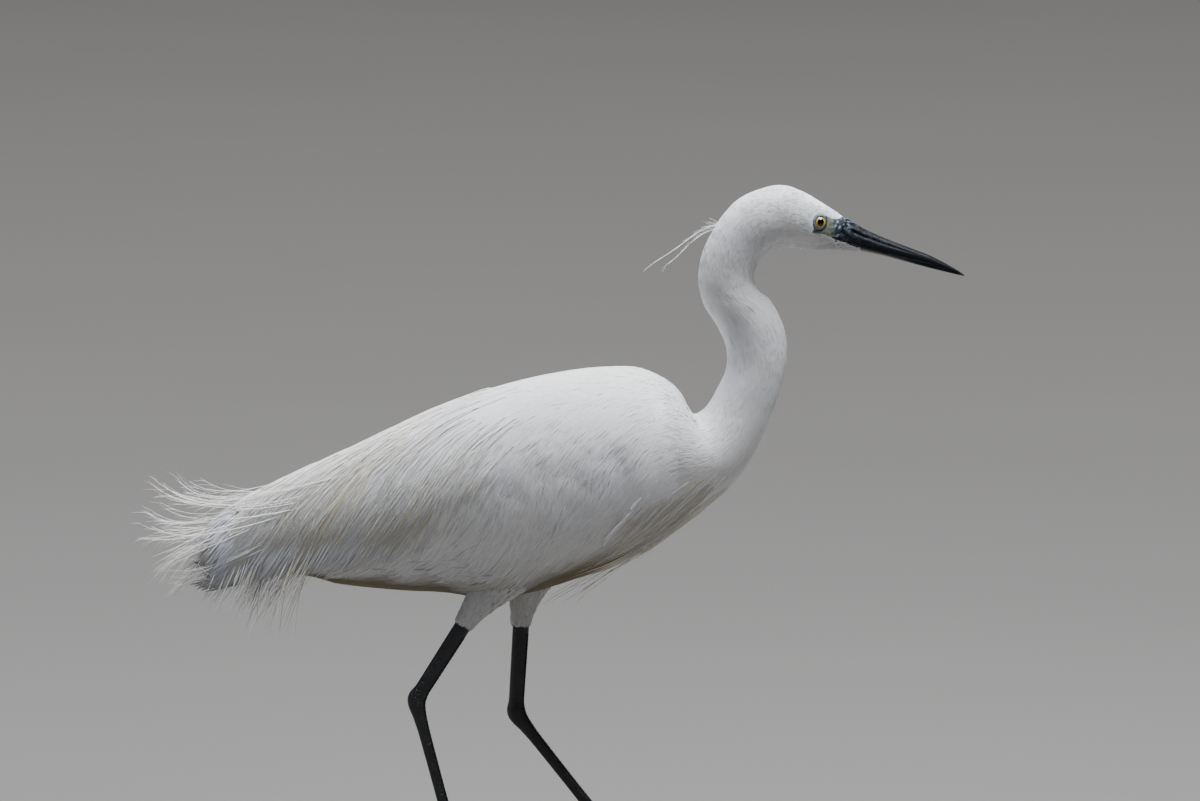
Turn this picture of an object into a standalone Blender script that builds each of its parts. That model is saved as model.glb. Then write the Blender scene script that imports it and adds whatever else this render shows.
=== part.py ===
"""A little egret as a life-size standing model, in its pieces.

Sizes are in millimetres and are turned to metres as each mesh is made. The bird faces +X with its left
side at +Y and stands on the floor at z = 0. One smooth skin, lofted through named cross sections, runs from
the tail to the root of the bill; the head, neck, torso, mantle, wings and tail are stretches or shells of
it, a hair's breadth apart.
"""

import math
import random

import bpy
import bmesh
import numpy as np

MM = 0.001
GAP = 0.3  # clearance between pieces that meet face to face
CUT_HEIGHT = 14.0  # how far a cutter stands out of the skin

# The skin's cross sections from tail to bill: the middle's x and z, how far the top leans forward from
# upright in degrees, half of the depth, and half of the width
SECTIONS = [
    ("plume end", -262.0, 208.0, 0, 20.0, 12.0),
    ("behind tail", -238.0, 197.0, 0, 19.5, 14.5),
    ("tail end", -215.0, 190.5, 0, 21.5, 17.0),
    ("tail middle", -190.0, 199.5, 0, 27.5, 20.0),
    ("tail root", -170.0, 206.5, 0, 30.7, 24.0),
    ("rump", -147.0, 211.5, 0, 36.6, 30.0),
    ("loin", -120.0, 216.2, 1, 44.5, 37.0),
    ("flank", -92.0, 221.6, 1, 52.4, 44.5),
    ("thigh", -65.0, 227.0, 1, 59.0, 50.0),
    ("belly", -37.0, 230.6, 1, 65.4, 53.5),
    ("keel", -10.0, 235.7, 0, 67.2, 55.5),
    ("back", 15.0, 241.7, 0, 65.7, 55.5),
    ("shoulder", 39.0, 247.2, -1, 62.5, 53.0),
    ("breast", 61.5, 253.7, -5, 55.3, 48.5),
    ("upper breast", 79.5, 257.6, -9, 44.6, 42.0),
    ("crop", 93.0, 259.3, -18, 34.4, 34.0),
    ("throat base", 103.0, 262.0, -40, 26.0, 26.5),
    ("neck root", 111.0, 270.0, -64, 21.7, 21.5),
    ("neck lower", 118.0, 281.5, -84, 20.6, 18.5),
    ("neck front", 124.0, 294.0, -90, 19.9, 17.0),
    ("neck bulge", 129.5, 310.5, -97, 19.0, 15.8),
    ("neck turn", 129.0, 328.0, -108, 19.0, 15.3),
    ("neck hollow", 122.0, 343.5, -113, 18.5, 14.6),
    ("neck back", 113.5, 354.5, -104, 17.6, 14.2),
    ("nape low", 110.5, 367.5, -88, 17.0, 14.2),
    ("nape", 114.5, 382.0, -63, 17.3, 14.6),
    ("hind crown", 124.5, 396.4, -38, 18.4, 15.4),
    ("crown back", 134.0, 402.2, -18, 19.4, 15.9),
    ("crown", 145.0, 404.8, 0, 19.7, 15.5),
    ("forehead", 156.0, 403.0, 6, 17.9, 14.2),
    ("eye", 167.5, 399.2, 11, 14.9, 11.8),
    ("face", 177.5, 395.8, 15, 11.6, 8.8),
    ("bill root", 181.5, 394.4, 17, 10.4, 7.6),
]
NAMES = [row[0] for row in SECTIONS]
SIZES = np.array([row[1:] for row in SECTIONS])


def at(name, share=0.0):
    """The skin's place number of a named section, or a share of the way to the next one."""
    return NAMES.index(name) + share


def section(place):
    """Middle x and z, lean, half depth and half width at a place, on a smooth curve through the sections."""
    low = int(min(max(math.floor(place), 0), len(SIZES) - 2))
    t = place - low
    before, after = SIZES[max(low - 1, 0)], SIZES[min(low + 2, len(SIZES) - 1)]
    start, end = SIZES[low], SIZES[low + 1]
    slope_start, slope_end = (end - before) / 2, (after - start) / 2
    return (
        (2 * t**3 - 3 * t**2 + 1) * start
        + (t**3 - 2 * t**2 + t) * slope_start
        + (3 * t**2 - 2 * t**3) * end
        + (t**3 - t**2) * slope_end
    )


def skin(place, turn, lift=0.0):
    """The skin's point at a place and an angle in degrees from the back, + on the left, raised by lift."""
    x, z, lean, deep, wide = section(place)
    angle, tilt = math.radians(turn), math.radians(lean)
    up, side = math.cos(angle), math.sin(angle)
    out_up, out_side = wide * up, deep * side
    length = math.hypot(out_up, out_side)
    height = deep * up + lift * out_up / length
    across = wide * side + lift * out_side / length
    return np.array([x + math.sin(tilt) * height, across, z + math.cos(tilt) * height])


def outward(place, turn):
    """The skin's outward direction at a place and angle."""
    direction = skin(place, turn, 1.0) - skin(place, turn, 0.0)
    return direction / np.linalg.norm(direction)


def forward(place):
    """The direction square to the section at a place, towards the bill."""
    tilt = math.radians(section(place)[2])
    return np.array([math.cos(tilt), 0.0, -math.sin(tilt)])


def between(rows, where):
    """Each column of rows (its first column rising) at where, by straight lines between rows."""
    table = np.array(rows, float)
    return [np.interp(where, table[:, 0], table[:, c]) for c in range(1, table.shape[1])]


def unit(vector):
    return np.asarray(vector, float) / np.linalg.norm(vector)


def mesh_object(name, points, faces):
    """An object of these points, in millimetres, with its faces turned outwards."""
    mesh = bpy.data.meshes.new(name)
    mesh.from_pydata([tuple(np.asarray(p) * MM) for p in points], [], faces)
    made = bpy.data.objects.new(name, mesh)
    bpy.context.scene.collection.objects.link(made)
    work = bmesh.new()
    work.from_mesh(mesh)
    bmesh.ops.recalc_face_normals(work, faces=work.faces)
    work.to_mesh(mesh)
    work.free()
    return made


def lofted(name, rings):
    """A closed body through rings of equal count, with a fan on each end."""
    count = len(rings[0])
    points = [p for ring in rings for p in ring]
    faces = []
    for r in range(len(rings) - 1):
        for k in range(count):
            n = (k + 1) % count
            a, b, c, d = r * count + k, r * count + n, (r + 1) * count + n, (r + 1) * count + k
            faces += [(a, b, c), (a, c, d)]
    for r in (0, len(rings) - 1):
        middle = len(points)
        points.append(np.mean(rings[r], axis=0))
        faces += [(r * count + k, r * count + (k + 1) % count, middle) for k in range(count)]
    return mesh_object(name, points, faces)


def skin_body(name, start, end, rings, sides, start_shift=0.0, end_shift=0.0, lift=0.0):
    """The skin's stretch between two places, raised by lift; a shift moves an end ring along the bird."""
    made = []
    for r in range(rings + 1):
        place = start + (end - start) * r / rings
        ring = [skin(place, 360 * k / sides, lift) for k in range(sides)]
        shift = start_shift if r == 0 else end_shift if r == rings else 0.0
        made.append([p + forward(place) * shift for p in ring])
    return lofted(name, made)


def plate(name, top, bottom):
    """A closed plate between two grids of points, split into like triangles on both faces."""
    rows, columns = len(top), len(top[0])
    points = [p for row in top for p in row] + [p for row in bottom for p in row]
    half = rows * columns
    faces = []
    for i in range(rows - 1):
        for j in range(columns - 1):
            a, b = i * columns + j, (i + 1) * columns + j
            c, d = b + 1, a + 1
            faces += [(a, b, c), (a, c, d)]
            faces += [(half + a, half + c, half + b), (half + a, half + d, half + c)]
    rim = list(range(columns))
    rim += [i * columns + columns - 1 for i in range(1, rows)]
    rim += [(rows - 1) * columns + j for j in range(columns - 2, -1, -1)]
    rim += [i * columns for i in range(rows - 2, 0, -1)]
    for a, b in zip(rim, rim[1:] + rim[:1]):
        faces += [(a, b, half + b), (a, half + b, half + a)]
    return mesh_object(name, points, faces)


def tube(name, path, sizes, sides, up=(0, 0, 1)):
    """A closed round bar along a path; sizes gives half its width and half its height at each point."""
    path = [np.asarray(p, float) for p in path]
    rings = []
    for i, point in enumerate(path):
        along = unit(path[min(i + 1, len(path) - 1)] - path[max(i - 1, 0)])
        across = unit(np.cross(along, up))
        rise = np.cross(across, along)
        wide, high = sizes[i]
        rings.append(
            [
                point
                + across * wide * math.cos(2 * math.pi * k / sides)
                + rise * high * math.sin(2 * math.pi * k / sides)
                for k in range(sides)
            ]
        )
    return lofted(name, rings)


def ball(name, centre, radii, axis=(0, 0, 1), rings=8, sides=12):
    """A closed ellipsoid whose last radius lies along axis."""
    axis = unit(axis)
    side = unit(np.cross(axis, (0.3, 0.2, 1) if abs(axis[2]) < 0.9 else (1, 0, 0)))
    other = np.cross(axis, side)
    made = []
    for r in range(1, rings):
        angle = math.pi * r / rings
        made.append(
            [
                np.asarray(centre)
                + side * radii[0] * math.sin(angle) * math.cos(2 * math.pi * k / sides)
                + other * radii[1] * math.sin(angle) * math.sin(2 * math.pi * k / sides)
                + axis * radii[2] * math.cos(angle)
                for k in range(sides)
            ]
        )
    points = [p for ring in made for p in ring]
    body = lofted(name, made)
    poles = [np.asarray(centre) + axis * radii[2], np.asarray(centre) - axis * radii[2]]
    for vertex, pole in zip(body.data.vertices[len(points) :], poles):
        vertex.co = pole * MM
    return body


def keep_largest(made):
    """Drops all but the largest closed surface of a mesh."""
    work = bmesh.new()
    work.from_mesh(made.data)
    bmesh.ops.triangulate(work, faces=work.faces)
    left, bodies = set(work.faces), []
    while left:
        grown, edge = set(), [left.pop()]
        while edge:
            face = edge.pop()
            grown.add(face)
            for line in face.edges:
                if len(line.link_faces) > 2:
                    continue
                for other in line.link_faces:
                    if other in left:
                        left.discard(other)
                        edge.append(other)
        bodies.append(grown)

    def volume(faces):
        return sum(f.verts[0].co.dot(f.verts[1].co.cross(f.verts[2].co)) / 6 for f in faces)

    best = max(bodies, key=volume)
    bmesh.ops.delete(work, geom=[f for f in work.faces if f not in best], context="FACES")
    work.to_mesh(made.data)
    work.free()


def boolean(made, others, operation, solver="EXACT"):
    """Joins others to made, or cuts them from it, in one step, and removes them."""
    group = bpy.data.collections.new("operands")
    for other in others:
        group.objects.link(other)
    step = made.modifiers.new("step", "BOOLEAN")
    step.operation = operation
    step.operand_type = "COLLECTION"
    step.collection = group
    step.solver = solver
    graph = bpy.context.evaluated_depsgraph_get()
    result = bpy.data.meshes.new_from_object(made.evaluated_get(graph))
    made.modifiers.clear()
    made.data = result
    for other in others:
        bpy.data.objects.remove(other)
    bpy.data.collections.remove(group)
    keep_largest(made)
    return made


def finish(made, material, crease=35):
    """Smooth shading with sharp creases, and the piece's material."""
    made.data.materials.clear()
    made.data.materials.append(material)
    made.data.shade_smooth()
    made.data.set_sharp_from_angle(angle=math.radians(crease))
    return made


def paint(name, colour, roughness):
    material = bpy.data.materials.new(name)
    material.use_nodes = True
    shader = material.node_tree.nodes["Principled BSDF"]
    shader.inputs["Base Color"].default_value = (*colour, 1)
    shader.inputs["Roughness"].default_value = roughness
    shader.inputs["Metallic"].default_value = 0.0
    return material


# Where the skin is parted
TAIL_CUT = at("rump", 0.15)
NECK_CUT = at("neck root", 0.0)
NECK_MIDDLE_CUT = at("neck turn", 0.0)
HEAD_CUT = at("nape", 0.15)

# The folded wing's outline on the skin: place, upper edge and lower edge in degrees from the back,
# thickness
WING_OUTLINE = [
    (at("tail end", 0.2), 96, 122, 4.0),
    (at("tail middle"), 64, 128, 5.5),
    (at("tail root"), 48, 131, 8.5),
    (at("rump"), 38, 134, 10.0),
    (at("loin"), 34, 141, 10.5),
    (at("flank"), 32, 147, 10.5),
    (at("thigh"), 33, 149, 10.5),
    (at("belly"), 34, 148, 10.0),
    (at("keel"), 36, 148, 9.0),
    (at("back"), 38, 146, 7.0),
    (at("shoulder"), 42, 136, 6.2),
    (at("breast"), 52, 116, 5.6),
    (at("breast", 0.6), 68, 92, 4.2),
]
WING_TIP, WING_BEND = WING_OUTLINE[0][0], WING_OUTLINE[-1][0]
# How high the wing's flesh lies on the skin, from the bend of the wing (share 0) to its tip (share 1):
# the rear half lies deep, under the plumes
WING_LEVEL = [(0.0, -0.9), (0.2, -0.9), (0.42, -6.6), (0.85, -6.6), (1.0, -4.6)]
WING_STEPS, WING_CORE_STEPS = 14, 10  # rings along the whole wing, and along its flesh
WING_EDGE_DROP = 4.5  # how much deeper its upper edge lies, under the mantle
WING_SEED = 11  # of the small differences between its feathers
CORE_CLEARANCE = 1.8  # room left under the flesh of wings and mantle
FEATHER_OVERHANG = 6.0  # how far the lowest feathers reach past the wing's lower edge

# Rows of wing feathers: name, count, then for the topmost and the lowest feather the root's share along
# the wing and share down it, and the tip's; then width, root and tip height over the flesh, and every
# second one's rise
WING_ROWS = [
    ("primary", 5, (0.58, 0.60, 0.99, 0.45), (0.58, 0.94, 0.80, 1.00), 8.5, -1.2, -0.6, 0.0),
    ("secondary", 9, (0.40, 0.10, 0.90, 0.20), (0.38, 0.95, 0.64, 1.02), 11.0, -1.0, 0.5, 1.3),
    ("greater covert", 8, (0.29, 0.14, 0.50, 0.16), (0.24, 0.93, 0.44, 0.99), 9.5, -1.0, 1.5, 0.0),
    ("median covert", 7, (0.19, 0.16, 0.36, 0.16), (0.15, 0.93, 0.31, 0.99), 10.5, -1.0, 1.5, 0.0),
    ("lesser covert", 6, (0.11, 0.21, 0.25, 0.20), (0.08, 0.92, 0.21, 0.98), 10.5, -1.0, 1.4, 0.0),
    ("marginal covert", 5, (0.04, 0.26, 0.16, 0.22), (0.02, 0.88, 0.12, 0.96), 10.0, -1.0, 1.3, 0.0),
]

# A feather's stations from root to tip, and its share of the full width at all but the last
FEATHER_STATIONS = (0.0, 0.45, 0.86, 1.0)
FEATHER_SHAPE = (0.6, 1.0, 0.74)

# The mantle, the cape of back feathers: place, half of its spread in degrees, depth under the skin
MANTLE_OUTLINE = [
    (at("loin"), 12, 5.0),
    (at("flank"), 34, 5.2),
    (at("thigh"), 44, 5.2),
    (at("belly"), 50, 5.2),
    (at("keel"), 53, 4.8),
    (at("back"), 55, 4.0),
    (at("shoulder"), 54, 3.2),
    (at("breast", 0.2), 42, 2.8),
    (at("upper breast"), 20, 2.4),
]
MANTLE_LEVEL = [(at("loin"), -3.4), (at("belly"), -2.8), (at("back"), -0.8), (at("upper breast"), -0.6)]

# What the plumes cover, cut clear in the torso and the tail: place, half of its spread in degrees, depth
PLUME_OUTLINE = [
    (at("tail middle"), 150, 4.0),
    (at("rump"), 70, 4.0),
    (at("loin"), 60, 4.5),
    (at("belly"), 50, 4.5),
]

# The plumes' fan on one side, from the ridge of the back down: root place and angle, tip place, angle and
# lift
PLUME_FAN = [
    (at("flank"), 3, at("behind tail", 0.08), 6, 27.0),
    (at("flank"), 7, at("plume end", 0.42), 14, 18.0),
    (at("flank", 0.3), 11, at("plume end", 0.0), 46, 3.0),
    (at("flank", 0.6), 15, at("plume end", 0.05), 92, 0.0),
    (at("thigh"), 19, at("plume end", 0.3), 135, 0.0),
    (at("thigh", 0.2), 23, at("behind tail", -0.1), 160, 1.0),
    (at("thigh", 0.5), 27, at("tail end", 0.2), 156, 10.0),
    (at("thigh", 0.8), 30, at("tail middle"), 150, 12.0),
    (at("belly"), 33, at("tail root", 0.0), 144, 10.0),
    (at("belly", 0.3), 36, at("rump", 0.1), 134, 5.0),
    (at("belly", 0.6), 39, at("loin", 0.1), 121, 1.5),
    (at("keel"), 42, at("flank", 0.1), 107, 0.6),
    (at("keel", 0.5), 45, at("thigh", 0.2), 92, 0.4),
]
PLUMES_PER_SIDE = 16
PLUME_WIDTH, PLUME_THICKNESS = 11.0, 1.1
PLUME_LEVELS, PLUME_SINK = (-2.4, -0.9, 0.6), 1.6
PLUME_STATIONS = (0.0, 0.14, 0.34, 0.54, 0.72, 0.88, 1.0)
PLUME_SHAPE = (0.36, 0.5, 0.72, 1.0, 0.84, 0.46)

# Scapular feathers along the mantle's edge: count on one side, first and last place
SCAPULARS = 7
SCAPULAR_PLACES = (at("belly", 0.3), at("shoulder", 0.6))
SCAPULAR_WIDTH, SCAPULAR_REACH = 13.0, 1.25  # the reach in places of the skin

# Breast plumes on one side, from the middle outwards: root place and angle, tip place, angle and lift
BREAST_FAN = [
    (at("crop"), 178, at("back", 0.1), 176, 15.0),
    (at("crop", 0.3), 162, at("keel", 0.2), 170, 11.0),
    (at("upper breast", 0.7), 150, at("shoulder", 0.6), 163, 5.0),
    (at("crop", 0.2), 138, at("back", 0.6), 158, 4.0),
]
BREAST_PLUMES_PER_SIDE = 6
BREAST_LEVELS, BREAST_SINK, BREAST_WIDTH = (0.5, 2.2), 2.6, 6.0

# Nape plumes: x and z from root to tip, and how far the tip lies to the left
NAPE_PLUMES = [
    ([(113.0, 396.0), (103.0, 399.5), (91.0, 393.5), (81.5, 387.0), (72.0, 380.0), (60.0, 371.5)], -3.0),
    ([(111.0, 391.0), (101.0, 396.0), (89.0, 389.0), (81.0, 380.5), (75.5, 376.0), (72.0, 371.0)], 3.0),
]

TAIL_FEATHERS = 9
TAIL_ROOT, TAIL_TIP = (-150.0, 191.0), (-228.0, 176.5)
TAIL_CORE_END, TAIL_CORE_FRONT = (-195.0, 181.5), -145.0  # x and z of the flesh's rear end, x of its front
TAIL_CORE_LOW, TAIL_CORE_SLIM = 0.16, 0.42  # the rear end's share of the skin's depth and width

# Head: the eye's place, angle and depth in the skin, its ball, the lids' ball, and the opening between
# the lids
EYE_AT, EYE_TURN, EYE_DEPTH = at("eye", 0.06), 76, 3.9
EYE_RADIUS, LID_RADII, LID_OPENING = 5.4, (6.6, 6.6, 5.4), (3.6, 4.3)
# The line of the mouth on the head, behind the bill: from which place to which, and its angle from the
# crown
GAPE_PLACES, GAPE_TURN = (at("eye", -0.35), at("bill root")), 106

# The bill along its own length: share from root to tip, top, mouth line and underside as z, and half width
BILL_ROOT_X, BILL_SPAN = 181.9, 78.0
BILL_SHAPE = [
    (0.00, 404.6, 390.8, 384.2, 7.2),
    (0.08, 401.3, 389.2, 383.8, 6.6),
    (0.22, 395.9, 386.1, 382.9, 5.9),
    (0.38, 390.8, 382.6, 380.2, 5.1),
    (0.55, 385.7, 379.4, 376.4, 4.4),
    (0.72, 380.6, 375.9, 372.6, 3.5),
    (0.84, 375.8, 372.7, 370.2, 2.6),
    (0.935, 371.5, 370.0, 368.4, 1.6),
    (1.00, 368.1, 367.7, 367.3, 0.5),
]
BILL_ARCH = 0.85  # how full the mandibles' round is
# The nostril slit: share along the bill, and share of the way from the mouth line up to the ridge, at
# both ends
NOSTRIL = [(0.09, 0.56), (0.16, 0.60), (0.24, 0.66)]

# The legs: which side, where the bare tibia starts, and where the ankle is, all in the upright plane of
# that leg
LEGS = {
    "right": {"side": -1, "bare": (-53.0, 151.5), "ankle": (-84.0, 102.5), "foot_x": -59.5},
    "left": {"side": 1, "bare": (-18.0, 144.5), "ankle": (-21.5, 86.5), "foot_x": 38.0},
}
LEG_SPREAD = 25.0
THIGH_BEND, HIP = 22.0, np.array([14.0, 0.0, 8.0])  # the thigh's half length, and how its top leans forward
# Half widths across and fore and aft: the thigh's lower end and what it gains to the top, the bare
# tibia's ends, and the tarsus from the ankle's knuckle down to the foot
THIGH_END, THIGH_GAIN = (5.6, 6.0), (9.5, 17.0)
TIBIA_ENDS = (4.3, 5.2), (3.8, 4.8)
TARSUS_SIZES = [(4.1, 4.9), (4.5, 5.7), (4.7, 6.0), (4.4, 5.4), (3.7, 4.4), (3.1, 3.7)]
TARSUS_SIZES += [(2.9, 3.5), (2.9, 3.4), (3.0, 3.5), (3.3, 3.8), (3.8, 4.2)]
KNUCKLE = 7.0  # how far above the ankle's middle the bare tibia ends
TARSUS_END_HEIGHT = 6.5
UPRIGHT_END = np.array([0.0, 0.0, 4.0])  # the tarsus's last stretch, which stands square on the foot
FOOT_BALL, FOOT_BALL_HEIGHT = (6.0, 5.2, 3.8), 3.2
SOLE_SINK = 0.6  # how deep the round of a toe is pressed flat
# Toes: name, angle from straight ahead in degrees (outwards is +), length to the claw, claw length, root
# radius
TOES = [
    ("middle", 2, 60.0, 9.0, 3.1),
    ("inner", -24, 44.0, 9.0, 2.8),
    ("outer", 30, 48.0, 8.0, 2.8),
    ("hind", 176, 26.0, 12.0, 2.7),
]
TOE_PADS, TOE_TAPER = 3, 0.32


def vane(name, path, ups, half_widths, ridge):
    """A tapering feather with a flat underside and a low ridge, closed by a point at the tip.

    path has one point more than half_widths, and ups holds the outward direction at each of its points.
    """
    path = [np.asarray(p, float) for p in path]
    rings = []
    for i, half in enumerate(half_widths):
        along = unit(path[i + 1] - path[max(i - 1, 0)])
        across = unit(np.cross(along, ups[i]))
        rise = np.cross(across, along)
        top = rise * ridge * (1.0 if i < len(half_widths) - 1 else 0.75)
        rings.append([path[i] - across * half, path[i] + across * half, path[i] + top])
    points = [p for ring in rings for p in ring] + [path[-1]]
    faces = [(0, 1, 2)]
    for r in range(len(rings) - 1):
        for k in range(3):
            n = (k + 1) % 3
            a, b, c, d = 3 * r + k, 3 * r + n, 3 * r + 3 + n, 3 * r + 3 + k
            faces += [(a, b, c), (a, c, d)] if k != 2 else [(a, b, d), (b, c, d)]
    last = 3 * (len(rings) - 1)
    faces += [(last + k, last + (k + 1) % 3, len(points) - 1) for k in range(3)]
    return mesh_object(name, points, faces)


def skin_vane(places, turns, lifts, width, shape, ridge):
    """A vane that lies on the skin through these places, angles and heights."""
    path = [skin(p, t, h) for p, t, h in zip(places, turns, lifts)]
    ups = [outward(p, t) for p, t in zip(places, turns)]
    return vane("vane", path, ups, [width / 2 * share for share in shape], ridge)


def wing_share(place):
    """How far along the wing a place lies, from the bend (0) to the tip (1)."""
    return (WING_BEND - place) / (WING_BEND - WING_TIP)


def shell(name, start, end, spans, long_steps, cross_steps, grow=0.0):
    """A bent plate on the skin between two places.

    spans(place) gives the first and last angle and then, as functions of the share across, the upper and
    the lower height.
    """
    top, bottom = [], []
    for i in range(long_steps + 1):
        place = start + (end - start) * i / long_steps
        first, last, upper, lower = spans(place)
        reach = section(place)[4] * math.pi / 180
        first -= math.copysign(grow / reach, last - first)
        last += math.copysign(grow / reach, last - first)
        move = forward(place) * (-grow if i == 0 else grow if i == long_steps else 0.0)
        shares = [j / cross_steps for j in range(cross_steps + 1)]
        turns = [first + (last - first) * share for share in shares]
        top.append([skin(place, turn, upper(share)) + move for turn, share in zip(turns, shares)])
        bottom.append([skin(place, turn, lower(share)) + move for turn, share in zip(turns, shares)])
    return plate(name, top, bottom)


def wing_level(along, down):
    """How high the wing's flesh lies on the skin, at shares along and down the wing."""
    level = between(WING_LEVEL, along)[0] - WING_EDGE_DROP * max(1 - down / 0.36, 0.0)
    thick = between(WING_OUTLINE, WING_BEND + (WING_TIP - WING_BEND) * along)[2]
    return max(level, 2.4 - thick)


def wing_core(name, side):
    """The folded wing's flesh, which the feathers grow from."""

    def spans(place):
        high, low, thick = between(WING_OUTLINE, place)
        along = wing_share(place)
        low = high + (low - high) * (0.95 - 0.12 * along)

        def half(share):
            return 0.5 + (wing_level(along, 0.5) + thick) / 2 * max(math.sin(math.pi * share), 0.0) ** 0.5

        def upper(share):
            return min((wing_level(along, 0.5) - thick) / 2 + half(share), wing_level(along, share))

        def lower(share):
            return (wing_level(along, 0.5) - thick) / 2 - half(share)

        return side * high, side * low, upper, lower

    start = WING_BEND + (WING_TIP - WING_BEND) * WING_CORE_STEPS / WING_STEPS
    return shell(name, start, WING_BEND, spans, WING_CORE_STEPS, 6)


def wing_cutter(side):
    """The room that the folded wing takes, feathers and all."""

    def spans(place):
        high, low, thick = between(WING_OUTLINE, place)
        reach = section(place)[4] * math.pi / 180
        high, low = high - 1.0 / reach, low + FEATHER_OVERHANG / reach
        return side * high, side * low, lambda share: CUT_HEIGHT, lambda share: -thick - CORE_CLEARANCE

    return shell("cutter", WING_TIP, WING_BEND, spans, WING_STEPS, 6, grow=1.0)


def wing_feathers(side, chance):
    """Every feather of one wing, row by row, each a little different."""
    made = []
    for _, count, topmost, lowest, width, root_height, tip_height, rise in WING_ROWS:
        for n in range(count):
            share = n / (count - 1)
            root, down, tip, tip_down = np.array(topmost) * (1 - share) + np.array(lowest) * share
            tip += chance.uniform(-0.008, 0.008)
            places, turns, lifts = [], [], []
            for t in FEATHER_STATIONS:
                along = root + (tip - root) * t
                place = WING_BEND + (WING_TIP - WING_BEND) * along
                high, low, _ = between(WING_OUTLINE, place)
                places.append(place)
                across = down + (tip_down - down) * t
                turns.append(side * (high + (low - high) * across))
                second = rise * (n % 2) * min(2.5 * t, 1.0)
                height = root_height + (tip_height - root_height) * t
                lifts.append(wing_level(along, across) + height + second)
            size = width * chance.uniform(0.94, 1.0)
            made.append(skin_vane(places, turns, lifts, size, FEATHER_SHAPE, 0.9))
    return made


def mantle_core():
    """The mantle's flesh, a lens that follows the back."""

    def spans(place):
        spread, depth = between(MANTLE_OUTLINE, place)
        level = between(MANTLE_LEVEL, place)[0]
        middle, half = (level - depth) / 2, (level + depth) / 2

        def upper(share):
            return middle + half * max(math.sin(math.pi * share), 0.0) ** 0.5 + 0.4

        def lower(share):
            return middle - half * max(math.sin(math.pi * share), 0.0) ** 0.5 - 0.4

        return -spread, spread, upper, lower

    return shell("mantle", MANTLE_OUTLINE[0][0], MANTLE_OUTLINE[-1][0], spans, 14, 8)


def plume_cutter(outline):
    """The room over the skin that the mantle or the plumes take."""

    def spans(place):
        spread, depth = between(outline, place)
        return -spread, spread, lambda share: CUT_HEIGHT, lambda share: -depth - CORE_CLEARANCE

    return shell("cutter", outline[0][0], outline[-1][0], spans, 14, 8, grow=1.0)


def fan(rows, share):
    """A row of a fan's table at a share from its first row to its last."""
    table = np.array(rows, float)
    where = share * (len(rows) - 1)
    return [np.interp(where, range(len(rows)), table[:, c]) for c in range(table.shape[1])]


def plume(root, root_turn, tip, tip_turn, tip_lift, level, sink, width, side):
    """A long back or breast plume: it leaves the flesh, lies along the skin and lifts off at its end."""
    places = [root + (tip - root) * t for t in PLUME_STATIONS]
    turns = [side * (root_turn + (tip_turn - root_turn) * t**1.2) for t in PLUME_STATIONS]
    lifts = []
    for t in PLUME_STATIONS:
        lying = level - sink * max(1 - t / PLUME_STATIONS[1], 0.0)
        lifts.append(lying + (tip_lift - level) * max((t - 0.5) / 0.5, 0.0) ** 2)
    return skin_vane(places, turns, lifts, width, PLUME_SHAPE, PLUME_THICKNESS)


def back_plumes(chance):
    """The plumes of both sides and the scapular feathers along the mantle's edge."""
    made = []
    for side in (-1, 1):
        for n in range(PLUMES_PER_SIDE):
            root, root_turn, tip, tip_turn, lift = fan(PLUME_FAN, n / (PLUMES_PER_SIDE - 1))
            tip += chance.uniform(-0.12, 0.12)
            lift += chance.uniform(-0.3, 0.6)
            level = PLUME_LEVELS[n % len(PLUME_LEVELS)]
            width = PLUME_WIDTH * chance.uniform(0.9, 1.0)
            made.append(plume(root, root_turn, tip, tip_turn, lift, level, PLUME_SINK, width, side))
        for n in range(SCAPULARS):
            place = SCAPULAR_PLACES[0] + (SCAPULAR_PLACES[1] - SCAPULAR_PLACES[0]) * n / (SCAPULARS - 1)
            edge = between(MANTLE_OUTLINE, place)[0]
            places = [place - SCAPULAR_REACH * t for t in FEATHER_STATIONS]
            turns = [side * (edge - 13 + 22 * t) for t in FEATHER_STATIONS]
            lifts = [between(MANTLE_LEVEL, place)[0] - 0.8 + 2.4 * t for t in FEATHER_STATIONS]
            made.append(skin_vane(places, turns, lifts, SCAPULAR_WIDTH, FEATHER_SHAPE, 1.0))
    return made


def breast_plumes(chance):
    """The loose plumes that hang from the foot of the neck under the breast."""
    made = []
    for side in (-1, 1):
        for n in range(BREAST_PLUMES_PER_SIDE):
            root, root_turn, tip, tip_turn, lift = fan(BREAST_FAN, n / (BREAST_PLUMES_PER_SIDE - 1))
            lift += chance.uniform(-0.8, 0.8)
            level = BREAST_LEVELS[n % 2]
            made.append(plume(root, root_turn, tip, tip_turn, lift, level, BREAST_SINK, BREAST_WIDTH, side))
    return made


def nape_plumes():
    """The two long thin plumes of the hind head."""
    made = []
    for points, left in NAPE_PLUMES:
        count = len(points)
        path = [np.array([x, left * i / (count - 1), z]) for i, (x, z) in enumerate(points)]
        ups = [np.array([-0.35, 0.0, 1.0])] * count
        made.append(vane("vane", path, ups, [1.2, 1.3, 1.2, 1.0, 0.8][: count - 1], 1.1))
    return made


def tail_feathers():
    """The tail's overlapping feathers, the middle ones on top."""
    made = []
    middle = (TAIL_FEATHERS - 1) // 2
    for n in range(-middle, middle + 1):
        out = abs(n) + (0.5 if n > 0 else 0.0)
        root = np.array([TAIL_ROOT[0], 0.9 * n, TAIL_ROOT[1] - 0.9 * out])
        tip = np.array([TAIL_TIP[0] + 3.0 * out, 1.8 * n, TAIL_TIP[1] - 1.15 * out])
        path = [root + (tip - root) * t for t in (0.0, 0.35, 0.7, 0.93, 1.0)]
        made.append(vane("vane", path, [np.array([0, 0, 1.0])] * 5, [3.2, 4.3, 4.6, 3.2], 0.75))
    return made


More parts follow.
